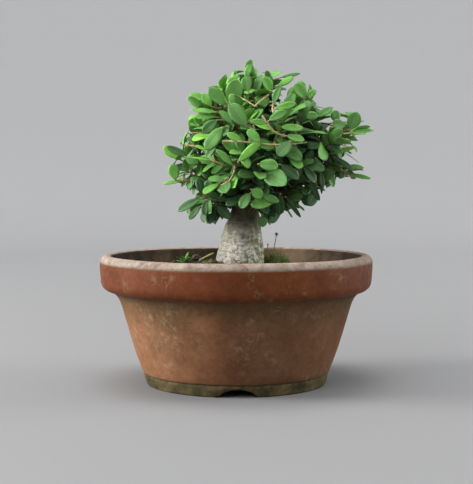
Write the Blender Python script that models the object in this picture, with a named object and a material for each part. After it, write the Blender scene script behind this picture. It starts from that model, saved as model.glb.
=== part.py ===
"""A small broadleaf bonsai in a round clay training pot, as a Blender model.

Run it with: blender --background --python part.py

The origin is on the pot's axis, in the plane that its foot stands on. +Z is up and -Y is the front.
Every size and place below is in millimetres, and MM turns it into Blender's metres.
"""

import math
import random

import bmesh
import bpy
from mathutils import Vector
from mathutils.bvhtree import BVHTree

MM = 0.001
FIT_GAP = 0.35  # clearance between two pieces that rest on or in each other
UP = Vector((0.0, 0.0, 1.0))

# --- Pot: a turned clay bowl with a thick rolled band, a foot ring and one drain hole
POT_SEGMENTS = 64
RIM_RADIUS = 75.0
RIM_TOP = 71.0
RIM_INNER_RADIUS = 68.3
FOOT_RADIUS = 49.9
FOOT_INNER_RADIUS = 44.0
FOOT_RECESS = 4.8
BODY_BOTTOM = 7.0
BODY_BOTTOM_RADIUS = 51.9
NECK_RADIUS = 66.8
NECK_HEIGHT = 49.5
BAND_UNDERSIDE = (68.9, 57.0)  # centre of the curve that rolls the band's face under it
BAND_CURVE_RADIUS = 5.6
FLOOR_TOP = 12.0
FLOOR_RADIUS = 45.5
DRAIN_RADIUS = 9.0
NOTCH_ARC_RADIUS = 15.3
NOTCH_HEIGHT = 4.4
NOTCH_ANGLES = (-89.0, 31.0, 151.0)

# --- Drain screen and its wire staple
SCREEN_CELLS = 5
SCREEN_PITCH = 4.4
SCREEN_BAR = 1.4
SCREEN_THICKNESS = 0.9
STAPLE_RADIUS = 0.5
STAPLE_LEG = SCREEN_PITCH

# --- Soil: a mound that falls away to the pot's wall
SOIL_SEGMENTS = 40
SOIL_EDGE_HEIGHT = 57.0
SOIL_MOUND = ((-10.0, 2.0, 24.0, 10.4), (25.0, 9.0, 11.0, 4.6))  # x, y, spread, height

# --- Tree: the trunk's centre line, as x, y, z and radius, from the root crown to the apex
TRUNK = (
    (1.0, 0.0, 48.0, 11.0),
    (1.2, 0.0, 57.0, 15.2),
    (1.5, 0.0, 65.0, 14.0),
    (2.5, 0.0, 74.0, 12.4),
    (3.6, 0.0, 82.5, 10.8),
    (4.5, 0.0, 89.5, 9.1),
    (4.8, 0.0, 96.0, 7.3),
    (5.0, 0.2, 103.0, 5.9),
    (4.8, 0.6, 111.0, 4.6),
    (4.2, 1.0, 121.0, 3.4),
    (5.6, 0.4, 134.0, 2.4),
    (7.0, -0.6, 147.0, 1.6),
    (7.6, -1.0, 154.0, 1.1),
)
TRUNK_SIDES = 16
ROOT_ANGLES = (-160.0, -105.0, -40.0, 20.0, 85.0, 150.0)
ROOT_REACH = 31.0
LIMB_SIDES = 7
# Each limb runs from a height on the trunk's line through two points to its end: height, then x, y, z of each
LIMBS = (
    (98.0, (-9.0, -9.0, 103.0), (-17.0, -12.0, 103.5)),
    (104.0, (-12.0, -2.0, 112.0), (-24.0, -3.0, 117.0)),
    (113.0, (-8.0, -6.0, 125.0), (-18.0, -5.0, 134.0)),
    (122.0, (-4.0, -4.0, 138.0), (-9.0, -5.0, 149.0)),
    (99.0, (22.0, -6.0, 104.0), (36.0, -7.0, 108.0)),
    (105.0, (26.0, 2.0, 115.0), (50.0, -1.0, 119.0)),
    (112.0, (26.0, 1.0, 128.0), (47.0, -1.0, 133.0)),
    (121.0, (21.0, -3.0, 138.0), (34.0, 0.0, 145.0)),
    (101.0, (6.0, -16.0, 108.0), (7.0, -27.0, 113.0)),
    (112.0, (12.0, -14.0, 124.0), (20.0, -25.0, 131.0)),
    (118.0, (1.0, -12.0, 131.0), (0.0, -20.0, 140.0)),
    (100.0, (-4.0, 15.0, 109.0), (-12.0, 26.0, 115.0)),
    (103.0, (14.0, 16.0, 112.0), (27.0, 25.0, 117.0)),
    (116.0, (2.0, 13.0, 131.0), (-4.0, 20.0, 140.0)),
    (120.0, (19.0, 13.0, 134.0), (29.0, 17.0, 142.0)),
)
LIMB_TIP_RADIUS = 1.0

# --- Leafy shoots: where each shoot's bud ends, on the crown's outline, its face and inside it
FRONT_SHOOTS = (
    (8.0, -2.0, 165.5),
    (20.0, -4.0, 162.0),
    (32.0, -5.0, 154.0),
    (43.0, 2.0, 147.0),
    (63.0, -4.0, 137.5),
    (57.0, 2.0, 128.5),
    (58.0, -6.0, 119.0),
    (64.0, 2.0, 113.5),
    (44.0, -9.0, 107.0),
    (29.0, -10.0, 99.0),
    (19.0, -14.0, 101.0),
    (12.0, -14.0, 95.0),
    (-19.0, -12.0, 100.0),
    (-30.0, -4.0, 112.0),
    (-29.0, -2.0, 127.0),
    (-18.0, 3.0, 139.0),
    (-15.0, -8.0, 149.0),
    (-14.0, -2.0, 158.0),
    (-5.0, -5.0, 161.0),
    (0.0, -24.0, 150.0),
    (-13.0, -24.0, 138.0),
    (10.0, -30.0, 141.0),
    (26.0, -26.0, 147.0),
    (34.0, -27.0, 136.0),
    (21.0, -36.0, 127.0),
    (2.0, -36.0, 127.0),
    (-13.0, -31.0, 122.0),
    (15.0, -38.0, 115.0),
    (-9.0, -33.0, 110.0),
    (4.0, -30.0, 102.0),
    (35.0, -28.0, 119.0),
    (47.0, -18.0, 129.0),
    (12.0, -17.0, 157.0),
)
# The back of the crown, one ring of shoots for each row: height, radius, then the azimuths
CROWN_AXIS = Vector((13.0, 0.0, 128.0))
BACK_RINGS = (
    (104.0, 33.0, (62.0, 118.0)),
    (117.0, 41.0, (25.0, 62.0, 97.0, 137.0)),
    (132.0, 39.0, (35.0, 74.0, 112.0, 150.0)),
    (147.0, 28.0, (45.0, 95.0, 140.0)),
)
# The crown's outline seen from the front, as x and z, clockwise from its lowest leaf on the left
CROWN_OUTLINE = (
    (-15.0, 86.5), (-28.0, 89.5), (-33.5, 95.0), (-22.0, 104.0), (-29.0, 107.0), (-42.0, 110.0),
    (-38.0, 120.0), (-40.0, 131.0), (-27.0, 135.0), (-27.0, 145.0), (-26.0, 160.0), (-15.0, 164.0),
    (0.0, 171.5), (8.0, 178.0), (15.0, 172.0), (36.0, 171.5), (45.0, 161.0), (54.0, 152.0),
    (58.0, 147.5), (66.0, 150.5), (75.0, 140.5), (64.0, 132.5), (66.5, 129.5), (75.0, 113.0),
    (57.0, 109.5), (48.0, 105.0), (46.5, 98.5), (40.0, 103.0), (36.0, 90.0), (23.0, 91.0),
    (17.5, 86.5), (12.5, 93.0), (10.0, 97.5), (-2.0, 98.5), (-4.0, 90.0),
)
SHOOT_SEED = 11
TWIG_HALF_WIDTH = 0.62
LEAF_LENGTH = 13.4
LEAF_RATIO = 0.57  # width over length
LEAF_THICKNESS = 0.6
LEAF_TRIES = 30
LEAF_CLEARANCE = 0.35
BLADE_STATIONS = (0.34, 0.66, 0.88)

# --- On the soil
MOSS_CUSHIONS = (  # name, centre, radius, rise and the seed of its outline
    ("moss_cushion_right", (24.5, 9.0), 8.5, 3.4, 3),
    ("moss_cushion_left", (-16.5, -5.5), 3.0, 1.2, 8),
)
MOSS_STALKS = (  # name, foot, bud and the radius of its capsule
    ("moss_stalk_tall", (21.0, 4.0, 71.5), (22.2, 3.0, 81.0), 0.95),
    ("moss_stalk_short", (17.2, 5.5, 69.5), (17.6, 4.5, 75.5), 0.55),
)
SOIL_CLODS = (  # place, size and seed
    ((-22.5, 6.5), 5.0, 1),
    ((-35.0, 3.0), 4.2, 2),
    ((31.0, -4.0), 4.0, 4),
)
SEEDLING_PLACE = (-28.5, 4.0)
FALLEN_STALK = ((-20.5, -1.0, 68.0, 0.45), (-17.0, -1.2, 69.4, 0.65), (-12.9, -1.4, 71.4, 0.55))

MATERIALS = {
    "clay": ((0.36, 0.15, 0.075), 0.75, 0.0),
    "plastic_mesh": ((0.02, 0.03, 0.02), 0.5, 0.0),
    "wire": ((0.45, 0.4, 0.36), 0.35, 1.0),
    "soil": ((0.05, 0.035, 0.022), 0.95, 0.0),
    "bark": ((0.42, 0.40, 0.33), 0.8, 0.0),
    "leaf": ((0.06, 0.19, 0.05), 0.45, 0.0),
    "moss": ((0.12, 0.2, 0.04), 0.9, 0.0),
    "dry_stem": ((0.45, 0.42, 0.2), 0.7, 0.0),
    "weed": ((0.1, 0.3, 0.08), 0.5, 0.0),
}


# ------------------------------------------------------------------ helpers


def clear_scene():
    for obj in list(bpy.data.objects):
        bpy.data.objects.remove(obj)


def material(name):
    """The named material, made once."""
    found = bpy.data.materials.get(name)
    if found:
        return found
    colour, roughness, metallic = MATERIALS[name]
    made = bpy.data.materials.new(name)
    made.use_nodes = True
    shader = made.node_tree.nodes["Principled BSDF"]
    shader.inputs["Base Color"].default_value = (*colour, 1.0)
    shader.inputs["Roughness"].default_value = roughness
    shader.inputs["Metallic"].default_value = metallic
    return made


def add_object(name, bm, slot, sharp_angle=40.0):
    """Turns a bmesh in millimetres into a named, smooth-shaded object in metres."""
    bmesh.ops.recalc_face_normals(bm, faces=bm.faces)
    bmesh.ops.scale(bm, vec=(MM, MM, MM), verts=bm.verts)
    mesh = bpy.data.meshes.new(name)
    bm.to_mesh(mesh)
    bm.free()
    mesh.shade_smooth()
    mesh.set_sharp_from_angle(angle=math.radians(sharp_angle))
    obj = bpy.data.objects.new(name, mesh)
    bpy.context.scene.collection.objects.link(obj)
    obj.data.materials.append(material(slot))
    return obj


def add_helper(name, bm):
    """An object that only cuts or joins others."""
    obj = add_object(name, bm, "clay")
    obj.hide_render = True
    obj.display_type = "WIRE"
    return obj


def boolean(obj, operation, helpers):
    """One Boolean modifier on obj for a group of helper objects."""
    group = bpy.data.collections.new(obj.name + "_" + operation.lower())
    for helper in helpers:
        group.objects.link(helper)
    modifier = obj.modifiers.new(operation.title(), "BOOLEAN")
    modifier.operation = operation
    modifier.operand_type = "COLLECTION"
    modifier.collection = group
    modifier.solver = "EXACT"


def arc(centre, radius, start, stop, steps):
    """Points on a circular arc, as (radius, height), from start to stop in degrees."""
    points = []
    for k in range(steps + 1):
        angle = math.radians(start + (stop - start) * k / steps)
        points.append((centre[0] + radius * math.cos(angle), centre[1] + radius * math.sin(angle)))
    return points


def turned(profile, segments):
    """A closed ring of (radius, height) points, turned about Z."""
    bm = bmesh.new()
    ring = [bm.verts.new((r, 0.0, z)) for r, z in profile]
    edges = [bm.edges.new((ring[i], ring[(i + 1) % len(ring)])) for i in range(len(ring))]
    bmesh.ops.spin(bm, geom=ring + edges, cent=(0, 0, 0), axis=(0, 0, 1), angle=math.tau,
                   steps=segments, use_merge=True, use_duplicate=False)
    bmesh.ops.remove_doubles(bm, verts=bm.verts, dist=0.001)
    return bm


def catmull_rom(points, per_span):
    """A smooth curve through tuples of any length, with per_span steps between two of them."""
    padded = [points[0], *points, points[-1]]
    curve = []
    for i in range(1, len(padded) - 2):
        p0, p1, p2, p3 = padded[i - 1 : i + 3]
        for k in range(per_span):
            t = k / per_span
            curve.append(tuple(
                0.5 * (2 * b + (c - a) * t + (2 * a - 5 * b + 4 * c - d) * t * t
                       + (3 * b - a - 3 * c + d) * t ** 3)
                for a, b, c, d in zip(p0, p1, p2, p3)
            ))
    curve.append(tuple(float(x) for x in points[-1]))
    return curve


def tangents(points):
    """The direction of a path at each of its points."""
    found = []
    for i in range(len(points)):
        ahead = points[min(i + 1, len(points) - 1)]
        behind = points[max(i - 1, 0)]
        found.append((ahead - behind).normalized())
    return found


def cross_frames(points):
    """Two directions across a path at each point, carried along it without twist."""
    frames = []
    across = None
    for tangent in tangents(points):
        start = across if across is not None else UP if abs(tangent.z) < 0.9 else Vector((1, 0, 0))
        across = (start - tangent * start.dot(tangent)).normalized()
        frames.append((across, tangent.cross(across)))
    return frames


def tube_rings(points, radii, sides):
    """Rings of points round a path, one for each of its points."""
    rings = []
    for point, radius, (a, b) in zip(points, radii, cross_frames(points)):
        ring = []
        for k in range(sides):
            angle = math.tau * k / sides
            ring.append(point + (a * math.cos(angle) + b * math.sin(angle)) * radius)
        rings.append(ring)
    return rings


def loft(rings):
    """A closed bmesh through rings of equal length, with flat ends."""
    bm = bmesh.new()
    rows = [[bm.verts.new(p) for p in ring] for ring in rings]
    sides = len(rows[0])
    for lower, upper in zip(rows, rows[1:]):
        for k in range(sides):
            bm.faces.new((lower[k], lower[(k + 1) % sides], upper[(k + 1) % sides], upper[k]))
    bm.faces.new(rows[0])
    bm.faces.new(rows[-1])
    return bm


def rings_as_polygons(rings):
    """The same surface as loft, as plain lists for a BVH tree."""
    points = [p for ring in rings for p in ring]
    sides = len(rings[0])
    faces = []
    for row in range(len(rings) - 1):
        for k in range(sides):
            a = row * sides + k
            b = row * sides + (k + 1) % sides
            faces.append((a, b, b + sides, a + sides))
    return points, faces


# ------------------------------------------------------------------ pot


def pot_profile():
    """The wall's closed outline, from the foot up the outside, over the lip and down the inside."""
    points = [(FOOT_RADIUS - 0.9, 0.0), (FOOT_RADIUS, 0.9), (51.1, 5.8), (50.5, 6.4)]
    points += [(BODY_BOTTOM_RADIUS, BODY_BOTTOM), (56.0, 18.6), (60.2, 32.6), (63.2, 42.2)]
    points += [(64.2, 45.4), (65.3, 47.6), (NECK_RADIUS, NECK_HEIGHT)]
    points += arc(BAND_UNDERSIDE, BAND_CURVE_RADIUS, -70.0, -4.0, 4)
    points += arc((RIM_RADIUS - 3.8, RIM_TOP - 3.9), 3.8, 0.0, 90.0, 4)
    points += arc((RIM_INNER_RADIUS + 2.2, RIM_TOP - 2.4), 2.2, 100.0, 180.0, 2)
    points += [(59.2, 44.0), (FLOOR_RADIUS + 2.2, FLOOR_TOP + 3.4), (FLOOR_RADIUS, FLOOR_TOP)]
    points += [(DRAIN_RADIUS + 0.8, FLOOR_TOP), (DRAIN_RADIUS, FLOOR_TOP - 0.9)]
    points += [(DRAIN_RADIUS, FOOT_RECESS)]
    points += [(FOOT_INNER_RADIUS - 0.9, FOOT_RECESS), (FOOT_INNER_RADIUS, FOOT_RECESS - 0.9)]
    points += [(FOOT_INNER_RADIUS, 0.8), (FOOT_INNER_RADIUS + 0.8, 0.0)]
    return points


def wall_inner_radius(height):
    """The radius of the pot's inner wall at a height between its floor and its lip."""
    share = (height - FLOOR_TOP - 3.4) / (RIM_TOP - 2.4 - FLOOR_TOP - 3.4)
    low = FLOOR_RADIUS + 2.2
    return low + (RIM_INNER_RADIUS - low) * share


def notch_cutter(angle_deg):
    """A round bar across the foot ring, whose top leaves a shallow arch in it."""
    direction = Vector((math.cos(math.radians(angle_deg)), math.sin(math.radians(angle_deg)), 0))
    height = UP * (NOTCH_HEIGHT - NOTCH_ARC_RADIUS)
    ends = [direction * (FOOT_INNER_RADIUS - 3.0) + height, direction * (FOOT_RADIUS + 4.0) + height]
    return loft(tube_rings(ends, [NOTCH_ARC_RADIUS] * 2, 60))


def build_pot():
    pot = add_object("pot", turned(pot_profile(), POT_SEGMENTS), "clay", sharp_angle=32.0)
    cutters = [add_helper(f"notch_cutter_{i}", notch_cutter(a)) for i, a in enumerate(NOTCH_ANGLES)]
    boolean(pot, "DIFFERENCE", cutters)


# ------------------------------------------------------------------ drain screen


def screen_lines():
    """The edges of the screen's bars along one side, from one end to the other."""
    lines = []
    for k in range(SCREEN_CELLS + 1):
        centre = (k - SCREEN_CELLS / 2) * SCREEN_PITCH
        lines += [centre - SCREEN_BAR / 2, centre + SCREEN_BAR / 2]
    return lines


def build_drain_screen():
    """A square plastic mesh that lies over the drain hole."""
    bm = bmesh.new()
    lines = screen_lines()
    bottom = FLOOR_TOP + FIT_GAP
    levels = []
    for z in (bottom, bottom + SCREEN_THICKNESS):
        levels.append([[bm.verts.new((x, y, z)) for y in lines] for x in lines])
    last = len(lines) - 1

    def solid(i, j):
        """Cells with two odd indexes are the holes, and those past the edge are outside."""
        return 0 <= i < last and 0 <= j < last and not (i % 2 and j % 2)

    for i in range(last):
        for j in range(last):
            if not solid(i, j):
                continue
            corners = ((i, j), (i + 1, j), (i + 1, j + 1), (i, j + 1))
            for level in levels:
                bm.faces.new([level[a][b] for a, b in corners])
            beyond = ((i, j - 1), (i + 1, j), (i, j + 1), (i - 1, j))
            for k in range(4):
                if not solid(*beyond[k]):
                    (a, b), (c, d) = corners[k], corners[(k + 1) % 4]
                    bm.faces.new((levels[0][a][b], levels[0][c][d], levels[1][c][d], levels[1][a][b]))
    add_object("drain_screen", bm, "plastic_mesh")


def build_staple():
    """A wire that holds the screen down: over it, down the hole, and bent out under the floor."""
    low = FOOT_RECESS - STAPLE_RADIUS - FIT_GAP
    high = FLOOR_TOP + FIT_GAP + SCREEN_THICKNESS + STAPLE_RADIUS + FIT_GAP
    route = ((-DRAIN_RADIUS - 6, low), (-STAPLE_LEG - 1.3, low), (-STAPLE_LEG, low + 1.3),
             (-STAPLE_LEG, high - 1.3), (-STAPLE_LEG + 1.3, high))
    points = [Vector((x, 0.0, z)) for x, z in route]
    points += [Vector((-p.x, 0.0, p.z)) for p in reversed(points)]
    add_object("screen_staple", loft(tube_rings(points, [STAPLE_RADIUS] * len(points), 8)), "wire")


# ------------------------------------------------------------------ soil


def soil_height(x, y):
    """The height of the soil's surface: mounds round the tree, and a fall towards the wall."""
    height = SOIL_EDGE_HEIGHT
    for cx, cy, spread, rise in SOIL_MOUND:
        height += rise * math.exp(-((x - cx) ** 2 + (y - cy) ** 2) / (2 * spread * spread))
    lumps = math.sin(0.31 * x + 1.3) * math.sin(0.27 * y + 0.4) + 0.5 * math.sin(0.6 * x - 0.5 * y)
    return height + 0.5 * lumps


def surface_patch(centre, inner_height, outline, height, rings, segments):
    """A closed body between inner_height(x, y), its underside, and height(x, y), its top.

    outline(angle) gives its reach from centre, at the top and at the underside."""
    bm = bmesh.new()
    caps = []
    for which, surface in enumerate((inner_height, height)):
        rows = []
        for ring in range(1, rings + 1):
            row = []
            for k in range(segments):
                angle = math.tau * k / segments
                reach = outline(angle)[which] * ring / rings
                x = centre[0] + reach * math.cos(angle)
                y = centre[1] + reach * math.sin(angle)
                row.append(bm.verts.new((x, y, surface(x, y))))
            rows.append(row)
        middle = bm.verts.new((centre[0], centre[1], surface(*centre)))
        for k in range(segments):
            bm.faces.new((middle, rows[0][k], rows[0][(k + 1) % segments]))
            for lower, upper in zip(rows, rows[1:]):
                n = (k + 1) % segments
                bm.faces.new((lower[k], lower[n], upper[n], upper[k]))
        caps.append(rows[-1])
    for k in range(segments):
        n = (k + 1) % segments
        bm.faces.new((caps[0][k], caps[0][n], caps[1][n], caps[1][k]))
    return bm


def box_mesh(low, high):
    bm = bmesh.new()
    bmesh.ops.create_cube(bm, size=1.0)
    for vert in bm.verts:
        vert.co = [l + (h - l) * (c + 0.5) for c, l, h in zip(vert.co, low, high)]
    return bm


def soil_mesh():
    """Soil between the pot's floor and the mound, following the wall's slope."""
    bottom = FLOOR_TOP + 4.0
    low_radius = wall_inner_radius(bottom) - FIT_GAP - 0.2
    high_radius = wall_inner_radius(SOIL_EDGE_HEIGHT) - FIT_GAP - 0.6
    upper = surface_patch((0.0, 0.0), lambda x, y: bottom, lambda a: (low_radius, high_radius),
                          soil_height, 7, SOIL_SEGMENTS)
    floor_radius = FLOOR_RADIUS - FIT_GAP - 0.5
    underside = [v for v in upper.verts if abs(v.co.z - bottom) < 0.01]
    for vert in underside:
        reach = math.hypot(vert.co.x, vert.co.y)
        if reach < low_radius * 0.99:
            vert.co.z = FLOOR_TOP + FIT_GAP
            vert.co.xy = vert.co.xy * (floor_radius / (low_radius * 6 / 7))
    return upper


def root_paths():
    """Six main roots, from the root crown outwards and down into the soil."""
    paths = []
    for k, angle_deg in enumerate(ROOT_ANGLES):
        angle = math.radians(angle_deg)
        reach = ROOT_REACH - 3.0 * (k % 3)
        route = ((5.0, 55.0, 4.6), (14.0, 53.0, 3.9), (reach * 0.75, 46.0, 2.5), (reach, 36.0, 1.3))
        curve = catmull_rom(route, 2)
        bend = math.radians(14.0 * (-1) ** k)
        points = []
        for r, z, _ in curve:
            turn = angle + bend * r / ROOT_REACH
            points.append(Vector((1.2 + r * math.cos(turn), r * math.sin(turn), z)))
        paths.append((points, [c[2] for c in curve]))
    return paths


def trunk_rings(extra, top):
    """The trunk's rings up to a height, extra wider all round, with the root crown's lobes."""
    rings = []
    line = [p for p in catmull_rom(TRUNK, 2) if p[2] <= top]
    points = [Vector(p[:3]) for p in line]
    for ring, point, (x, y, z, radius) in zip(
        tube_rings(points, [1.0] * len(points), TRUNK_SIDES), points, line
    ):
        flare = max(0.0, min(1.0, (78.0 - z) / 22.0))
        shaped = []
        for k, corner in enumerate(ring):
            angle = math.atan2(corner.y - point.y, corner.x - point.x)
            lobes = 1.0 + flare * (0.045 * math.cos(3 * angle + 0.6) + 0.03 * math.cos(5 * angle))
            shaped.append(point + (corner - point) * (radius * lobes + extra))
        rings.append(shaped)
    return rings


def build_soil():
    """The soil, with room for the root crown, the roots, the screen and its staple."""
    soil = add_object("soil", soil_mesh(), "soil")
    wide = [add_helper("soil_trunk_cutter", loft(trunk_rings(FIT_GAP, 90.0)))]
    wide[0].location.z = -FIT_GAP * MM
    for k, (points, radii) in enumerate(root_paths()):
        longer = [*points, points[-1] + (points[-1] - points[-2]).normalized() * FIT_GAP * 2]
        wider = [r + FIT_GAP for r in [*radii, radii[-1]]]
        wide.append(add_helper(f"soil_root_cutter_{k}", loft(tube_rings(longer, wider, 8))))
    half = (SCREEN_CELLS * SCREEN_PITCH + SCREEN_BAR) / 2 + FIT_GAP
    top = FLOOR_TOP + SCREEN_THICKNESS + 4 * STAPLE_RADIUS + 2 * FIT_GAP
    wide.append(add_helper("soil_screen_cutter", box_mesh((-half, -half, 5.0), (half, half, top))))
    boolean(soil, "DIFFERENCE", wide)


# ------------------------------------------------------------------ tree


def limb_paths():
    """The limbs' centre lines, each from the trunk's line outwards, with their radii."""
    spine = catmull_rom(TRUNK, 8)
    paths = []
    for height, middle, end in LIMBS:
        x, y, z, trunk_radius = min(spine, key=lambda p: abs(p[2] - height))
        start = (x, y, z)
        curve = [Vector(p) for p in catmull_rom((start, middle, end), 4)]
        thick = min(3.0, trunk_radius * 0.62)
        last = len(curve) - 1
        radii = [thick + (LIMB_TIP_RADIUS - thick) * (i / last) ** 0.8 for i in range(last + 1)]
        paths.append((curve, radii))
    return paths


def build_tree():
    """The trunk with its root crown, roots and limbs: one grown piece of wood."""
    tree = add_object("trunk", loft(trunk_rings(0.0, 1000.0)), "bark", sharp_angle=60.0)
    parts = []
    for k, (points, radii) in enumerate(root_paths()):
        parts.append(add_helper(f"root_{k}", loft(tube_rings(points, radii, LIMB_SIDES))))
    for k, (points, radii) in enumerate(limb_paths()):
        parts.append(add_helper(f"limb_{k}", loft(tube_rings(points, radii, LIMB_SIDES))))
    boolean(tree, "UNION", parts)


# ------------------------------------------------------------------ shoots


class Space:
    """What the crown already holds, to keep each new twig and leaf clear of it."""

    def __init__(self):
        self.items = []

    @staticmethod
    def ball(points):
        centre = sum(points, Vector()) / len(points)
        return centre, max((p - centre).length for p in points)

    def add(self, points, faces):
        self.items.append((*self.ball(points), BVHTree.FromPolygons(points, faces)))
        return self.items[-1]

    def is_free(self, points, faces, without=None):
        centre, reach = self.ball(points)
        tree = BVHTree.FromPolygons(points, faces)
        for item in self.items:
            if item is without or (centre - item[0]).length > reach + item[1]:
                continue
            if tree.overlap(item[2]):
                return False
        return True


class Leaf:
    """A leaf's place and form. Its midrib bends away from its upper face by droop."""

    def __init__(self, base, along, face, length, width, droop):
        self.base = base
        self.along = along.normalized()
        self.face = (face - self.along * face.dot(self.along)).normalized()
        self.side = self.along.cross(self.face)
        self.length = length
        self.width = width
        self.droop = droop

    def midrib(self, t):
        return self.base + (self.along * t - self.face * self.droop * t * t) * self.length

    def half_width(self, t):
        """Widest just past the middle, with a wedge-shaped base and a blunt tip."""
        return self.width / 2 * (max(0.0, t) / 0.53) ** 0.8 * (max(0.0, 1 - t) / 0.47) ** 0.62

    def is_inside(self):
        """Whether its tip and its two widest edges lie inside the crown's outline."""
        first, _, second, _ = self.ring(0.53)
        return all(in_outline(p) for p in (self.midrib(1.0), first, second))

    def ring(self, t, grow=0.0):
        """Four points round the blade: one edge, upper face, other edge, lower face."""
        middle = self.midrib(t)
        reach = self.side * (max(self.half_width(t), 0.5) + grow)
        thick = self.face * (LEAF_THICKNESS / 2 + grow)
        return [middle - reach, middle + thick, middle + reach, middle - thick]

    def skin(self, root, grow=0.0):
        """Rings from its root on the twig to near its tip, each matched to the one before."""
        middle = sum(root, Vector()) / 4
        rings = [[p + (p - middle).normalized() * grow for p in root]]
        for t in BLADE_STATIONS:
            rings.append(matched(rings[-1], self.ring(t, grow)))
        return rings

    def polygons(self, root, grow=0.0, start=0.0):
        """The blade as a closed shape for tests, from a share of its stalk to its tip."""
        rings = self.skin(root, grow)
        rings[0] = [p.lerp(q, start) for p, q in zip(rings[0], rings[1])]
        points, faces = rings_as_polygons(rings)
        tip = len(points)
        points.append(self.midrib(1.0 + grow / self.length))
        faces += [(tip - 4 + k, tip - 4 + (k + 1) % 4, tip) for k in range(4)]
        faces.append((0, 1, 2, 3))
        return points, faces


def in_outline(point):
    """Whether a point lies inside the crown's outline, seen from the front."""
    inside = False
    for (x0, z0), (x1, z1) in zip(CROWN_OUTLINE, CROWN_OUTLINE[1:] + CROWN_OUTLINE[:1]):
        crosses = (z0 > point.z) != (z1 > point.z)
        if crosses and point.x < x0 + (x1 - x0) * (point.z - z0) / (z1 - z0):
            inside = not inside
    return inside


def matched(lower, upper):
    """The upper ring of four, turned or flipped so that the skin to it twists least."""
    return min(
        ([upper[(s + d * k) % 4] for k in range(4)] for s in range(4) for d in (1, -1)),
        key=lambda ring: sum((p - q).length for p, q in zip(lower, ring)),
    )


def shoot_tips():
    """Where every shoot ends: the ones set by hand, then the rings at the back of the crown."""
    tips = [Vector(p) for p in FRONT_SHOOTS]
    for height, radius, azimuths in BACK_RINGS:
        for azimuth in azimuths:
            a = math.radians(azimuth)
            tips.append(Vector((CROWN_AXIS.x + radius * math.cos(a), radius * math.sin(a), height)))
    return tips


def nearest_wood(tip, wood):
    """Points of the wood that a shoot may grow from, best first: near its tip and behind it."""
    found = []
    for points, radii in wood:
        for point, radius, tangent in zip(points, radii, tangents(points)):
            reach = tip - point
            distance = reach.length
            if distance > 11.0 and radius < 5.0:
                cost = distance * (1.35 - 0.5 * tangent.dot(reach) / distance)
                found.append((cost, point, radius, tangent))
    return [item[1:] for item in sorted(found, key=lambda item: item[0])]


def bowed_path(start, control, end, steps):
    """Points on a curve from start to end that leaves start towards control."""
    points = []
    for k in range(steps + 1):
        t = k / steps
        points.append(start * (1 - t) ** 2 + control * 2 * t * (1 - t) + end * t * t)
    return points


def twig_path(tip, wood, space, rng):
    """A slightly bowed twig from the wood's surface to its tip, clear of what is there."""
    for origin, radius, tangent in nearest_wood(tip, wood)[:12]:
        reach = tip - origin
        steps = 2 * max(4, min(7, round(reach.length / 4.2)))
        for attempt in range(10):
            wander = Vector((rng.uniform(-1, 1), rng.uniform(-1, 1), rng.uniform(-1, 1)))
            control = origin + reach * 0.45 + tangent * 0.12 * reach.length + UP * 1.2
            control += wander * (0.8 + 0.45 * attempt)
            heading = (control - origin).normalized()
            start = origin + heading * (radius * 1.05 + 1.3 + 0.12 * attempt)
            points = bowed_path(start, control, tip, steps)
            skin = rings_as_polygons(twig_corners(points, LEAF_CLEARANCE))
            if space.is_free(*skin):
                return points
    raise RuntimeError(f"no room for the shoot that ends at {tuple(tip)}")


def leaf_at(station, axis, side, share, tip, rng, attempt):
    """A leaf that may grow from a twig: it spreads from the axis, and turns to the light."""
    spread = math.radians(70.0 - 34.0 * share + rng.uniform(-9, 9) * (1 + 0.25 * attempt))
    wander = Vector((rng.uniform(-1, 1), rng.uniform(-1, 1), rng.uniform(-1, 1)))
    along = axis * math.cos(spread) + side * math.sin(spread) + wander * (0.12 + 0.04 * attempt)
    lift = max(-0.45, min(0.22, (station.z - 120.0) / 90.0))
    along = (along.normalized() + UP * lift).normalized()
    outward = (tip - CROWN_AXIS).normalized()
    face = UP * 0.75 + outward * 0.55 + wander.cross(along) * 0.35
    length = LEAF_LENGTH * rng.uniform(0.78, 1.22) * (1 - 0.012 * attempt)
    width = length * LEAF_RATIO * rng.uniform(0.85, 1.15)
    return Leaf(station, along, face, length, width, rng.uniform(0.05, 0.24))


def leaf_sites(path):
    """Where leaves may grow on a twig, as (segment, side): its end, then crossed pairs inwards."""
    last = len(path) - 1
    sites = [(last, 0)]
    for segment in range(last - 1, 1, -1):
        pair = segment % 2
        sites += [(segment, pair), (segment, pair + 2)]
    return sites


def grow_leaf(site, path, tip, space, twig, rng):
    """A leaf at one site of a twig, or None if there is no room for it."""
    segment, side = site
    last = len(path) - 1
    across, other = cross_frames(path)[segment]
    outward = [other, -across, -other, across][side]
    root = side_of_twig(twig_corners(path), segment, side)
    middle = sum(root, Vector()) / 4
    axis = tangents(path)[segment]
    share = 1.9 if segment == last else segment / last
    for attempt in range(LEAF_TRIES):
        leaf = leaf_at(middle, axis, outward, share, tip, rng, attempt)
        if not leaf.is_inside():
            continue
        clear = space.is_free(*leaf.polygons(root, LEAF_CLEARANCE), without=twig)
        if clear and space.is_free(*leaf.polygons(root, 0.0, 0.12)):
            space.add(*leaf.polygons(root))
            return leaf
    return None


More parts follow.
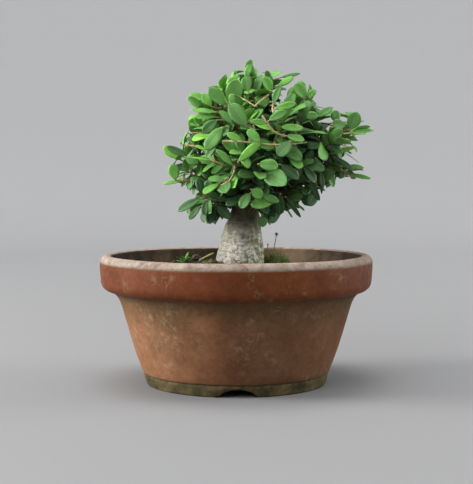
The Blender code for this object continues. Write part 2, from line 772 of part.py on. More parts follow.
def grow_crown():
    """Every shoot as its twig's path and its leaves, {site: Leaf}: all the twigs grow before
    any leaf, and the leaves at the ends of the twigs before the inner ones."""
    spine = catmull_rom(TRUNK, 4)
    leader = ([Vector(p[:3]) for p in spine], [p[3] for p in spine])
    wood = [leader, *limb_paths()]
    space = Space()
    for points, radii in wood:
        space.add(*rings_as_polygons(tube_rings(points, [r * 1.05 + 0.25 for r in radii], 12)))
    rng = random.Random(SHOOT_SEED)
    shoots = []
    for tip in shoot_tips():
        path = twig_path(tip, wood, space, rng)
        twig = space.add(*rings_as_polygons(twig_corners(path, 0.1)))
        shoots.append((path, {}, tip, twig))
    for rank in range(max(len(leaf_sites(shoot[0])) for shoot in shoots)):
        for path, leaves, tip, twig in shoots:
            sites = leaf_sites(path)
            if rank < len(sites):
                leaf = grow_leaf(sites[rank], path, tip, space, twig, rng)
                if leaf:
                    leaves[sites[rank]] = leaf
    return [(path, leaves) for path, leaves, tip, twig in shoots]


def twig_corners(path, grow=0.0):
    """Square rings along a twig, thinner towards its end."""
    rings = []
    last = len(path) - 1
    for k, (point, (a, b)) in enumerate(zip(path, cross_frames(path))):
        half = TWIG_HALF_WIDTH * (1.25 - 0.45 * k / last) + grow
        corners = ((a + b), (b - a), (-a - b), (a - b))
        rings.append([point + corner * half for corner in corners])
    return rings


def side_of_twig(corners, segment, side):
    """The four corners that a leaf grows from: one side of a segment, or the twig's end."""
    if segment == len(corners) - 1:
        return list(corners[segment])
    low, high = corners[segment], corners[segment + 1]
    nxt = (side + 1) % 4
    return [low[side], low[nxt], high[nxt], high[side]]


def add_leaf(bm, root, leaf):
    """Grows a blade out of a ring of four vertices on the twig."""
    ring = root
    for points in leaf.skin([v.co for v in root])[1:]:
        upper = [bm.verts.new(p) for p in points]
        for k in range(4):
            bm.faces.new((ring[k], ring[(k + 1) % 4], upper[(k + 1) % 4], upper[k]))
        ring = upper
    tip = bm.verts.new(leaf.midrib(1.0))
    for k in range(4):
        bm.faces.new((ring[k], ring[(k + 1) % 4], tip))


def shoot_mesh(path, leaves):
    """The twig and its leaves as one closed skin."""
    bm = bmesh.new()
    rows = [[bm.verts.new(p) for p in ring] for ring in twig_corners(path)]
    last = len(rows) - 1
    bm.faces.new(rows[0])
    for segment in range(last + 1):
        for side in range(4 if segment < last else 1):
            root = side_of_twig(rows, segment, side)
            leaf = leaves.get((segment, side))
            if leaf:
                add_leaf(bm, root, leaf)
            else:
                bm.faces.new(root)
    return bm


def build_crown():
    for k, (path, leaves) in enumerate(grow_crown(), start=1):
        add_object(f"leafy_shoot_{k:02d}", shoot_mesh(path, leaves), "leaf", sharp_angle=30.0)


# ------------------------------------------------------------------ on the soil


def build_moss(name, centre, radius, rise, seed):
    """A cushion of moss that follows the soil under it."""
    rng = random.Random(seed)
    phases = [rng.uniform(0, math.tau) for _ in range(3)]

    def outline(angle):
        wave = 0.12 * math.sin(2 * angle + phases[0]) + 0.08 * math.sin(3 * angle + phases[1])
        return (radius * (1 + wave), radius * (1 + wave) * 0.96)

    def top(x, y):
        share = min(1.0, math.hypot(x - centre[0], y - centre[1]) / radius)
        bumps = 0.12 * math.sin(1.1 * x + phases[2]) * math.sin(1.3 * y)
        return under(x, y) + 0.5 + rise * (1 - share ** 2.2) * (1 + bumps)

    def under(x, y):
        return soil_height(x, y) + 0.9

    add_object(name, surface_patch(centre, under, outline, top, 4, 14), "moss")


def build_moss_stalk(name, foot, bud, capsule):
    """A thin stalk from the moss cushion with a round spore capsule on its end."""
    foot, bud = Vector(foot), Vector(bud)
    line = catmull_rom((tuple(foot), tuple(foot.lerp(bud, 0.5) + Vector((-0.7, 0, 0))), tuple(bud)), 3)
    points = [Vector(p) for p in line]
    axis = (points[-1] - points[-2]).normalized()
    radii = [0.3] * len(points)
    for k in range(1, 7):
        angle = math.pi * k / 7
        points.append(bud + axis * capsule * (1 - math.cos(angle)))
        radii.append(max(0.3, capsule * math.sin(angle)))
    add_object(name, loft(tube_rings(points, radii, 6)), "dry_stem")


def build_clod(name, place, size, seed):
    """A lump of soil, resting on the surface."""
    rng = random.Random(seed)
    bm = bmesh.new()
    bmesh.ops.create_icosphere(bm, subdivisions=1, radius=1.0)
    for vert in bm.verts:
        vert.co *= rng.uniform(0.82, 1.1)
        vert.co.z *= 0.72
        vert.co *= size / 2
    lowest = min(v.co.z for v in bm.verts)
    around = [
        soil_height(place[0] + size / 2 * math.cos(a), place[1] + size / 2 * math.sin(a))
        for a in (math.tau * k / 8 for k in range(8))
    ]
    ground = max([soil_height(*place), *around])
    for vert in bm.verts:
        vert.co += Vector((place[0], place[1], ground + FIT_GAP - lowest))
    add_object(name, bm, "soil")


def build_seedling():
    """A tiny weed: a stem with narrow leaves that spread from its top."""
    x, y = SEEDLING_PLACE
    foot = Vector((x, y, soil_height(x, y) + 0.7))
    path = [foot + UP * (0.45 * k) for k in range(7)]
    leaves = {}
    rng = random.Random(5)
    for segment in (1, 3, 5):
        for side in range(4):
            if segment == 3 and side % 2:
                continue
            across, other = cross_frames(path)[segment]
            outward = [other, -across, -other, across][side]
            along = outward + UP * (0.35 + 0.28 * segment) + other * rng.uniform(-0.3, 0.3)
            start = (path[segment] + path[segment + 1]) / 2 + outward * 0.4
            leaves[(segment, side)] = Leaf(start, along, UP + outward * 0.2, rng.uniform(5.2, 7.6),
                                           1.5, 0.1)
    add_object("seedling", shoot_mesh(path, leaves), "weed", sharp_angle=30.0)


def build_fallen_stalk():
    """A pale dry stalk that leans on the foot of the trunk."""
    curve = catmull_rom(FALLEN_STALK, 3)
    points = [Vector(p[:3]) for p in curve]
    add_object("fallen_stalk", loft(tube_rings(points, [p[3] for p in curve], 7)), "dry_stem")


def main():
    clear_scene()
    build_pot()
    build_drain_screen()
    build_staple()
    build_soil()
    build_tree()
    build_crown()
    for name, centre, radius, rise, seed in MOSS_CUSHIONS:
        build_moss(name, centre, radius, rise, seed)
    for name, foot, bud, capsule in MOSS_STALKS:
        build_moss_stalk(name, foot, bud, capsule)
    build_seedling()
    build_fallen_stalk()
    for number, (place, size, seed) in enumerate(SOIL_CLODS, start=1):
        build_clod(f"soil_clod_{number}", place, size, seed)


main()
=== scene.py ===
"""The looks of a small broadleaf bonsai in a clay training pot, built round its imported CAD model.

Lengths and places are in millimetres, in the frame of the CAD model, until a piece is made: MM then
turns them into Blender's metres. The crown grows by the same rules as in the CAD model, so that each
detailed shoot lies where its plain solid does, and then gets smaller leaves in the room that is left.
"""

import math
import random

import bmesh
import bpy
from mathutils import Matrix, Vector, noise
from mathutils.bvhtree import BVHTree


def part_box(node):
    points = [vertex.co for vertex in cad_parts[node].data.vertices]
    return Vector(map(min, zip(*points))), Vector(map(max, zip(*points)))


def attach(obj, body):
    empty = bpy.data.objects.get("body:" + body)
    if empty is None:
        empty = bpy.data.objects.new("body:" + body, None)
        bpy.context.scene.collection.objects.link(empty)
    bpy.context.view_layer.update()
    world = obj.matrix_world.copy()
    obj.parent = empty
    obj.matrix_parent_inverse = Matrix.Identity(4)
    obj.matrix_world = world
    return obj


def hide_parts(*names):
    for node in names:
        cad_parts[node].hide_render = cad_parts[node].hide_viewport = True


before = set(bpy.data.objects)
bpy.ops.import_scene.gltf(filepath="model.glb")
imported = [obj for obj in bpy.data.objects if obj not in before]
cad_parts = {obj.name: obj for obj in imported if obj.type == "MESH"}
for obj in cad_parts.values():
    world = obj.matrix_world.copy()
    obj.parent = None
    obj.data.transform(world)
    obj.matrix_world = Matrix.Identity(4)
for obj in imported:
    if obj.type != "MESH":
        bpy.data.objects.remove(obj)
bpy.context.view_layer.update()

MM = 0.001
UP = Vector((0.0, 0.0, 1.0))

# --- Camera: placed as the photograph suggests, with a long lens
CAMERA_PLACE = (0.1, -640.0, 113.0)
CAMERA_PITCH = 3.17  # degrees below level
CAMERA_LENS = 86.3
SENSOR_WIDTH = 36.0

# --- Studio. Each light has a name, place, size, watts, its beam's spread in degrees, and a colour
WHITE = (1.0, 1.0, 1.0)
WARM_WHITE = (1.0, 0.985, 0.96)
LIGHTS = (
    ("key_light", (-1455, -60, 520), 800, 6.8, 70.0, WARM_WHITE),
    ("top_light", (-150, 0, 1700), 1000, 17.0, 180.0, WHITE),
    ("front_fill", (-700, -1150, 900), 900, 10.0, 180.0, WHITE),
    ("right_fill", (1400, 200, 480), 800, 2.6, 70.0, WHITE),
)
LIGHT_AIM = Vector((0.0, 0.0, 90.0))
AIR_COLOUR = (0.95, 0.97, 1.0, 1.0)
AIR_STRENGTH = 1.08
FLOOR_COLOUR = (0.192, 0.192, 0.194)
WALL_COLOUR = (0.510, 0.507, 0.507)
HIGH_WALL_COLOUR = (0.560, 0.558, 0.560)
FLOOR_FADE = (70, 1740)  # distances from the middle between which the floor takes the wall's colour
WALL_FADE = (100, 900)  # heights between which the wall takes its upper colour
FLOOR_RADII = (120, 250, 500, 900, 1300)
COVE_RADIUS = 900
WALL_TOP = 2400
STUDIO_SIDES = 96

# --- Pot, as in the CAD model
POT_SEGMENTS = 240
RIM_RADIUS = 75.0
RIM_TOP = 71.0
RIM_INNER_RADIUS = 68.3
FOOT_RADIUS = 49.9
FOOT_INNER_RADIUS = 44.0
FOOT_RECESS = 4.8
BODY_BOTTOM_RADIUS = 51.9
BAND_UNDERSIDE = (68.9, 57.0)
BAND_CURVE_RADIUS = 5.6
FLOOR_TOP = 12.0
FLOOR_RADIUS = 45.5
DRAIN_RADIUS = 9.0
NOTCH_ARC_RADIUS = 15.3
NOTCH_HEIGHT = 4.4
NOTCH_ANGLES = (-89.0, 31.0, 151.0)
THROWN_WOBBLE = 0.28
THROWING_RIDGES = 0.09
RIM_WAVE = 0.22

# --- Soil, as in the CAD model
SOIL_EDGE_HEIGHT = 57.0
SOIL_MOUND = ((-10.0, 2.0, 24.0, 10.4), (25.0, 9.0, 11.0, 4.6))  # x, y, spread, height
SOIL_SEGMENTS = 200
SOIL_RINGS = 90
SOIL_GAP = 0.5  # between the soil and the pot's wall
SOIL_HEEL = 16.5  # where the soil's side turns in towards the pot's floor
CRUMB_SEED = 21
CRUMB_KINDS = ((650, 2, 1.7, 3.4), (3200, 1, 0.6, 1.6))  # count, subdivisions, least and most size
CRUMB_FREE = (1.5, 13.0)  # the x and radius of the ground that the trunk takes up

# --- Small plants. A tuft: name, node, centre, radius, shoots, tallest shoot, seed
MOSS_TUFTS = (
    ("moss_tuft_right", "moss_cushion_right", (23.0, 8.5), 8.6, 620, 9.0, 3),
    ("moss_tuft_left", "moss_cushion_left", (-16.0, -5.5), 3.4, 260, 2.4, 8),
)
# A spore stalk: name, node, foot, bud, the capsule's radius
SPORE_STALKS = (
    ("spore_stalk_tall", "moss_stalk_tall", (21.0, 4.0, 64.0), (22.2, 3.0, 81.0), 0.9),
    ("spore_stalk_short", "moss_stalk_short", (17.2, 5.5, 63.5), (17.6, 4.5, 75.6), 0.45),
)
CAPSULE_STEPS = 14
SEEDLING_PLACE = (-28.5, 4.0)
SEEDLING_SEED = 5
SEEDLING_LEAVES = 13
FALLEN_STALK = ((-20.5, -1.0, 67.4, 0.30), (-17.0, -1.2, 69.4, 0.42), (-12.6, -1.4, 71.6, 0.36))
FALLEN_STALK_JOINTS = (7, 8, 15)

# --- Tree: the trunk's centre line, as x, y, z and radius, from the root crown to the apex
TRUNK = (
    (1.0, 0.0, 48.0, 11.0), (1.2, 0.0, 57.0, 15.2), (1.5, 0.0, 65.0, 14.0), (2.5, 0.0, 74.0, 12.4),
    (3.6, 0.0, 82.5, 10.8), (4.5, 0.0, 89.5, 9.1), (4.8, 0.0, 96.0, 7.3), (5.0, 0.2, 103.0, 5.9),
    (4.8, 0.6, 111.0, 4.6), (4.2, 1.0, 121.0, 3.4), (5.6, 0.4, 134.0, 2.4), (7.0, -0.6, 147.0, 1.6),
    (7.6, -1.0, 154.0, 1.1),
)
# Each limb: the height where it leaves the trunk's line, then a middle point and its end
LIMBS = (
    (98.0, (-9.0, -9.0, 103.0), (-17.0, -12.0, 103.5)),
    (104.0, (-12.0, -2.0, 112.0), (-24.0, -3.0, 117.0)),
    (113.0, (-8.0, -6.0, 125.0), (-18.0, -5.0, 134.0)),
    (122.0, (-4.0, -4.0, 138.0), (-9.0, -5.0, 149.0)),
    (99.0, (22.0, -6.0, 104.0), (36.0, -7.0, 108.0)),
    (105.0, (26.0, 2.0, 115.0), (50.0, -1.0, 119.0)),
    (112.0, (26.0, 1.0, 128.0), (47.0, -1.0, 133.0)),
    (121.0, (21.0, -3.0, 138.0), (34.0, 0.0, 145.0)),
    (101.0, (6.0, -16.0, 108.0), (7.0, -27.0, 113.0)),
    (112.0, (12.0, -14.0, 124.0), (20.0, -25.0, 131.0)),
    (118.0, (1.0, -12.0, 131.0), (0.0, -20.0, 140.0)),
    (100.0, (-4.0, 15.0, 109.0), (-12.0, 26.0, 115.0)),
    (103.0, (14.0, 16.0, 112.0), (27.0, 25.0, 117.0)),
    (116.0, (2.0, 13.0, 131.0), (-4.0, 20.0, 140.0)),
    (120.0, (19.0, 13.0, 134.0), (29.0, 17.0, 142.0)),
)
LIMB_TIP_RADIUS = 1.0
BARK_VOXEL = 0.5
BARK_SMOOTHING = 7

# --- Leafy shoots: where each shoot's bud ends, on the crown's outline, its face and inside it
FRONT_SHOOTS = (
    (8.0, -2.0, 165.5), (20.0, -4.0, 162.0), (32.0, -5.0, 154.0), (43.0, 2.0, 147.0),
    (63.0, -4.0, 137.5), (57.0, 2.0, 128.5), (58.0, -6.0, 119.0), (64.0, 2.0, 113.5),
    (44.0, -9.0, 107.0), (29.0, -10.0, 99.0), (19.0, -14.0, 101.0), (12.0, -14.0, 95.0),
    (-19.0, -12.0, 100.0), (-30.0, -4.0, 112.0), (-29.0, -2.0, 127.0), (-18.0, 3.0, 139.0),
    (-15.0, -8.0, 149.0), (-14.0, -2.0, 158.0), (-5.0, -5.0, 161.0), (0.0, -24.0, 150.0),
    (-13.0, -24.0, 138.0), (10.0, -30.0, 141.0), (26.0, -26.0, 147.0), (34.0, -27.0, 136.0),
    (21.0, -36.0, 127.0), (2.0, -36.0, 127.0), (-13.0, -31.0, 122.0), (15.0, -38.0, 115.0),
    (-9.0, -33.0, 110.0), (4.0, -30.0, 102.0), (35.0, -28.0, 119.0), (47.0, -18.0, 129.0),
    (12.0, -17.0, 157.0),
)
# The back of the crown, one ring of shoots for each row: height, radius, then the azimuths
CROWN_AXIS = Vector((13.0, 0.0, 128.0))
BACK_RINGS = (
    (104.0, 33.0, (62.0, 118.0)),
    (117.0, 41.0, (25.0, 62.0, 97.0, 137.0)),
    (132.0, 39.0, (35.0, 74.0, 112.0, 150.0)),
    (147.0, 28.0, (45.0, 95.0, 140.0)),
)
# The crown's outline seen from the front, as x and z, clockwise from its lowest leaf on the left
CROWN_OUTLINE = (
    (-15.0, 86.5), (-28.0, 89.5), (-33.5, 95.0), (-22.0, 104.0), (-29.0, 107.0), (-42.0, 110.0),
    (-38.0, 120.0), (-40.0, 131.0), (-27.0, 135.0), (-27.0, 145.0), (-26.0, 160.0), (-15.0, 164.0),
    (0.0, 171.5), (8.0, 178.0), (15.0, 172.0), (36.0, 171.5), (45.0, 161.0), (54.0, 152.0),
    (58.0, 147.5), (66.0, 150.5), (75.0, 140.5), (64.0, 132.5), (66.5, 129.5), (75.0, 113.0),
    (57.0, 109.5), (48.0, 105.0), (46.5, 98.5), (40.0, 103.0), (36.0, 90.0), (23.0, 91.0),
    (17.5, 86.5), (12.5, 93.0), (10.0, 97.5), (-2.0, 98.5), (-4.0, 90.0),
)
SHOOT_SEED = 11
TWIG_HALF_WIDTH = 0.62
LEAF_LENGTH = 13.4
LEAF_RATIO = 0.57  # width over length
LEAF_THICKNESS = 0.6
LEAF_TRIES = 30
LEAF_CLEARANCE = 0.35
BLADE_STATIONS = (0.34, 0.66, 0.88)

# --- The detailed crown
DETAIL_SEED = 77
LEAF_VALUES = ("along", "across", "under", "tone")
BLADE_ROWS = 13
BLADE_COLUMNS = 6
BLADE_HALF_THICKNESS = 0.13
TWIG_SIDES = 8
GOLDEN_TURN = 2.4  # radians from one leaf or bud to the next
SIDE_TWIG = (0.5, 0.35)  # radius at its start and at its end
FACE_TWIG = (0.5, 0.34)
THICKEST_LEAFY_LIMB = 6.5
SMALL_LEAF_TRIES = 10
SIDE_TWIG_TRIES = 6
# Sizes of the added leaves against the CAD model's: on a shoot's twig, its side twigs, a limb
TWIG_LEAF_SCALE = 0.72
SIDE_LEAF_SCALE = 0.74
LIMB_LEAF_SCALE = 0.78
# Painted shade: the limbs' leaves inside the crown are darker than the rest
LIMB_LEAF_TONE = -0.08  # darker than the rest, inside the crown
# Colours of a leaf from the oldest to the newest
LEAF_HUES = ((0.026, 0.070, 0.027), (0.062, 0.162, 0.046), (0.126, 0.335, 0.060),
             (0.172, 0.450, 0.060), (0.270, 0.590, 0.075))
WEED_HUES = ((0.018, 0.066, 0.010), (0.055, 0.165, 0.020), (0.14, 0.31, 0.038))
# Pale twigs in front of the crown's face: points from their root to their end
FACE_TWIGS = (
    ((-7.0, -37.0, 132.0), (2.0, -41.0, 131.6), (12.0, -38.0, 130.6), (24.0, -39.0, 130.0),
     (36.5, -34.0, 131.4)),
    ((13.5, -34.0, 145.2), (16.5, -38.0, 140.5), (20.0, -39.5, 136.5), (25.5, -40.0, 134.2)),
    ((-0.5, -24.0, 156.5), (4.0, -29.0, 154.0), (9.6, -32.0, 150.3)),
    ((17.0, -25.0, 156.8), (13.5, -29.0, 154.0), (9.6, -32.0, 150.3)),
    ((19.2, -36.0, 146.5), (18.8, -34.0, 149.0), (19.4, -31.0, 151.8)),
    ((-13.0, -30.0, 107.6), (-8.0, -34.0, 109.0), (-3.4, -37.5, 111.8), (-1.1, -39.0, 116.5),
     (-0.8, -39.5, 120.2)),
    ((44.5, -16.0, 137.2), (51.0, -14.0, 136.4), (57.0, -12.0, 136.6), (63.5, -9.0, 137.4)),
    ((-17.0, -16.0, 137.0), (-21.0, -15.0, 137.2), (-25.6, -14.0, 136.8)),
    ((-19.0, -18.0, 129.2), (-23.5, -16.0, 130.2), (-28.0, -14.0, 130.4)),
)
# The leaves that show most: x and z of the base and of the tip, depth, width, and how young it is
FACE_LEAVES = (
    (5.0, 166.0, 7.4, 174.0, -14, 3.8, 0.45), (18.5, 159.0, 14.4, 166.2, -20, 5.7, 0.62),
    (22.0, 161.7, 30.2, 167.0, -15, 3.8, 0.65), (24.0, 167.4, 34.4, 169.6, -5, 2.2, 0.3),
    (36.8, 155.5, 31.5, 163.3, -15, 7.2, 0.5), (37.4, 156.0, 42.8, 159.8, -12, 4.2, 0.55),
    (19.4, 151.8, 22.2, 160.1, -31, 4.0, 0.42), (19.7, 148.5, 30.8, 151.7, -35, 4.0, 0.62),
    (16.8, 142.4, 26.0, 148.0, -38, 4.8, 0.45), (16.4, 141.2, 7.2, 142.3, -38, 3.2, 0.5),
    (5.2, 139.5, -3.1, 151.3, -40, 8.2, 0.38), (-5.9, 151.0, -14.0, 160.2, -28, 7.0, 0.45),
    (-16.8, 154.2, -24.9, 158.3, -15, 4.8, 0.6), (-13.4, 151.0, -17.5, 157.6, -20, 4.8, 0.68),
    (-5.3, 161.2, 1.8, 167.0, -15, 4.8, 0.6), (6.2, 158.7, 4.5, 166.4, -22, 6.2, 0.36),
    (-2.3, 141.3, -8.3, 147.7, -35, 6.0, 0.42), (-7.1, 138.9, -15.9, 127.7, -37, 7.6, 0.42),
    (-9.9, 131.8, -15.9, 123.8, -33, 4.8, 0.3), (-10.0, 143.1, -17.6, 136.7, -30, 6.0, 0.25),
    (-26.0, 124.2, -37.6, 130.0, -12, 4.2, 0.2), (-33.0, 111.7, -34.3, 120.5, -12, 6.4, 0.58),
    (-27.7, 111.7, -40.2, 110.0, -10, 2.4, 0.75), (-27.1, 124.0, -19.8, 120.3, -25, 4.9, 0.42),
    (-1.9, 119.3, -10.2, 127.6, -40, 4.2, 0.5), (0.9, 121.2, 11.9, 131.5, -43, 4.8, 0.68),
    (28.2, 131.6, 21.1, 124.4, -40, 8.2, 0.28), (11.5, 120.1, 21.6, 118.9, -44, 6.6, 0.45),
    (22.8, 139.2, 34.7, 138.4, -38, 4.0, 0.55), (26.0, 134.8, 35.1, 132.5, -38, 4.8, 0.48),
    (12.0, 131.5, 6.0, 137.8, -43, 4.8, 0.52), (2.9, 131.6, -4.7, 136.0, -40, 4.8, 0.6),
    (22.8, 119.8, 32.7, 112.6, -38, 6.0, 0.06), (-16.4, 104.5, -4.7, 101.8, -30, 6.0, 0.1),
    (-5.9, 111.8, -14.3, 113.0, -37, 4.4, 0.48), (-18.7, 104.4, -19.9, 113.0, -22, 4.5, 0.05),
    (-19.1, 101.9, -31.4, 95.4, -20, 5.0, 0.2), (-19.0, 97.9, -25.6, 91.0, -22, 3.7, 0.15),
    (-16.1, 101.2, -16.8, 93.2, -28, 4.0, 0.18), (-12.6, 97.9, -14.2, 88.5, -22, 4.8, 0.02),
    (-10.8, 98.8, -2.8, 91.5, -26, 6.0, 0.08), (7.2, 105.0, 2.1, 97.5, -38, 6.0, 0.35),
    (7.6, 107.0, 13.6, 103.0, -39, 6.0, 0.5), (18.9, 99.8, 7.3, 99.6, -36, 6.2, 0.6),
    (12.4, 103.9, 22.4, 100.7, -37, 4.4, 0.35), (14.0, 93.0, 14.0, 86.8, -22, 5.0, 0.35),
    (23.3, 104.5, 22.4, 93.1, -25, 5.4, 0.08), (26.8, 102.7, 34.6, 91.6, -18, 2.6, 0.15),
    (39.1, 111.0, 44.8, 100.7, -18, 3.3, 0.05), (45.0, 116.7, 47.1, 107.2, -15, 3.0, 0.08),
    (42.3, 123.1, 44.3, 115.4, -25, 4.8, 0.2), (60.5, 115.1, 74.5, 112.9, 0, 2.6, 0.5),
    (59.1, 119.2, 69.6, 118.8, -5, 3.0, 0.45), (52.9, 124.2, 64.1, 117.2, -10, 3.4, 0.1),
    (61.6, 139.2, 65.3, 148.3, -10, 7.6, 0.36), (63.5, 137.6, 74.7, 139.4, -8, 3.0, 0.55),
    (54.5, 143.3, 52.9, 149.2, -10, 6.2, 0.4), (58.3, 140.7, 51.3, 142.3, -14, 6.2, 0.35),
    (43.0, 145.5, 51.7, 150.7, -15, 4.2, 0.42), (35.5, 145.2, 43.4, 146.4, -22, 5.0, 0.48),
    (52.0, 125.9, 64.1, 130.0, -10, 2.6, 0.7), (-19.4, 137.4, -25.6, 139.9, -12, 4.0, 0.2),
    (-17.7, 135.8, -25.6, 134.5, -12, 3.4, 0.25), (-10.2, 147.8, -24.4, 150.0, -20, 3.2, 0.6),
    (-11.0, 145.3, -22.0, 146.0, -18, 4.2, 0.55),
)


# ------------------------------------------------------------------ curves and tubes


def catmull_rom(points, per_span):
    """A smooth curve through tuples of any length, with per_span steps between two of them."""
    padded = [points[0], *points, points[-1]]
    curve = []
    for i in range(1, len(padded) - 2):
        p0, p1, p2, p3 = padded[i - 1 : i + 3]
        for k in range(per_span):
            t = k / per_span
            curve.append(tuple(
                0.5 * (2 * b + (c - a) * t + (2 * a - 5 * b + 4 * c - d) * t * t
                       + (3 * b - a - 3 * c + d) * t ** 3)
                for a, b, c, d in zip(p0, p1, p2, p3)
            ))
    curve.append(tuple(float(x) for x in points[-1]))
    return curve


def tangents(points):
    """The direction of a path at each of its points."""
    found = []
    for i in range(len(points)):
        ahead = points[min(i + 1, len(points) - 1)]
        behind = points[max(i - 1, 0)]
        found.append((ahead - behind).normalized())
    return found


def cross_frames(points):
    """Two directions across a path at each point, carried along it without twist."""
    frames = []
    across = None
    for tangent in tangents(points):
        start = across if across is not None else UP if abs(tangent.z) < 0.9 else Vector((1, 0, 0))
        across = (start - tangent * start.dot(tangent)).normalized()
        frames.append((across, tangent.cross(across)))
    return frames


def tube_rings(points, radii, sides):
    """Rings of points round a path, one for each of its points."""
    rings = []
    for point, radius, (a, b) in zip(points, radii, cross_frames(points)):
        ring = []
        for k in range(sides):
            angle = math.tau * k / sides
            ring.append(point + (a * math.cos(angle) + b * math.sin(angle)) * radius)
        rings.append(ring)
    return rings


def ring_quads(count, sides, closed=False):
    """The faces between rings of points, and from the last ring to the first if closed."""
    faces = []
    for row in range(count if closed else count - 1):
        low = row * sides
        high = (row + 1) % count * sides
        for k in range(sides):
            after = (k + 1) % sides
            faces.append((low + k, low + after, high + after, high + k))
    return faces


def rings_as_polygons(rings):
    """Rings of points as the points and faces of an open tube."""
    return [p for ring in rings for p in ring], ring_quads(len(rings), len(rings[0]))


def circle(radius, sides):
    """Points on a circle round the middle, as x and y."""
    angles = [math.tau * k / sides for k in range(sides)]
    return [(radius * math.cos(angle), radius * math.sin(angle)) for angle in angles]


def random_vector(rng):
    return Vector((rng.uniform(-1, 1), rng.uniform(-1, 1), rng.uniform(-1, 1)))


def wall_inner_radius(height):
    """The radius of the pot's inner wall at a height between its floor and its lip."""
    share = (height - FLOOR_TOP - 3.4) / (RIM_TOP - 2.4 - FLOOR_TOP - 3.4)
    low = FLOOR_RADIUS + 2.2
    return low + (RIM_INNER_RADIUS - low) * share


def soil_height(x, y):
    """The height of the soil's surface: mounds round the tree, and a fall towards the wall."""
    height = SOIL_EDGE_HEIGHT
    for cx, cy, spread, rise in SOIL_MOUND:
        height += rise * math.exp(-((x - cx) ** 2 + (y - cy) ** 2) / (2 * spread * spread))
    lumps = math.sin(0.31 * x + 1.3) * math.sin(0.27 * y + 0.4) + 0.5 * math.sin(0.6 * x - 0.5 * y)
    return height + 0.5 * lumps


def limb_paths():
    """The limbs' centre lines, each from the trunk's line outwards, with their radii."""
    spine = catmull_rom(TRUNK, 8)
    paths = []
    for height, middle, end in LIMBS:
        x, y, z, trunk_radius = min(spine, key=lambda p: abs(p[2] - height))
        start = (x, y, z)
        curve = [Vector(p) for p in catmull_rom((start, middle, end), 4)]
        thick = min(3.0, trunk_radius * 0.62)
        last = len(curve) - 1
        radii = [thick + (LIMB_TIP_RADIUS - thick) * (i / last) ** 0.8 for i in range(last + 1)]
        paths.append((curve, radii))
    return paths


# ------------------------------------------------------------------ pieces


class Skin:
    """The points, faces and named values per point of one piece, gathered bit by bit."""

    def __init__(self, *names):
        self.points = []
        self.faces = []
        self.values = {name: [] for name in names}
        self.looks = []

    def add(self, points, faces, look=0, **values):
        """Adds a bit of the piece. A value is one number for all its points or a list."""
        base = len(self.points)
        self.points += points
        self.faces += [[base + i for i in face] for face in faces]
        self.looks += [look] * len(faces)
        for name, stored in self.values.items():
            given = values.get(name, 0.0)
            stored += given if isinstance(given, list) else [float(given)] * len(points)


def make_piece(name, skin, looks, slot, *nodes):
    """A shown piece from a skin in millimetres, with its materials. It stands for these CAD nodes."""
    mesh = bpy.data.meshes.new(name)
    mesh.from_pydata([tuple(p * MM for p in point) for point in skin.points], [], skin.faces)
    mesh.update()
    for key, values in skin.values.items():
        mesh.attributes.new(key, "FLOAT", "POINT").data.foreach_set("value", values)
    for look in looks:
        mesh.materials.append(look)
    mesh.polygons.foreach_set("material_index", skin.looks)
    outward = bmesh.new()
    outward.from_mesh(mesh)
    bmesh.ops.recalc_face_normals(outward, faces=outward.faces)
    outward.to_mesh(mesh)
    outward.free()
    mesh.shade_smooth()
    show(add_object(name, mesh), slot, *nodes)


def add_object(name, data):
    obj = bpy.data.objects.new(name, data)
    bpy.context.scene.collection.objects.link(obj)
    return obj


def show(obj, slot, *nodes):
    """Makes an object part of the model: it rides on the root and may stand for CAD nodes."""
    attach(obj, "root")
    if nodes:
        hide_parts(*nodes)


def tube(points, radii, sides):
    """The points and faces of a closed tube with flat ends."""
    corners, faces = rings_as_polygons(tube_rings(points, radii, sides))
    last = len(corners) - sides
    faces = [*faces, tuple(range(sides)), tuple(range(last, last + sides))]
    return [tuple(p) for p in corners], faces


def smooth_step(low, high, value):
    share = min(1.0, max(0.0, (value - low) / (high - low)))
    return share * share * (3 - 2 * share)


def rough(point, size, seed=0.0):
    """Smooth noise from -1 to 1 with features of about that size."""
    return noise.noise(Vector(point) / size + Vector((seed, seed * 1.7, -seed)))


# ------------------------------------------------------------------ materials


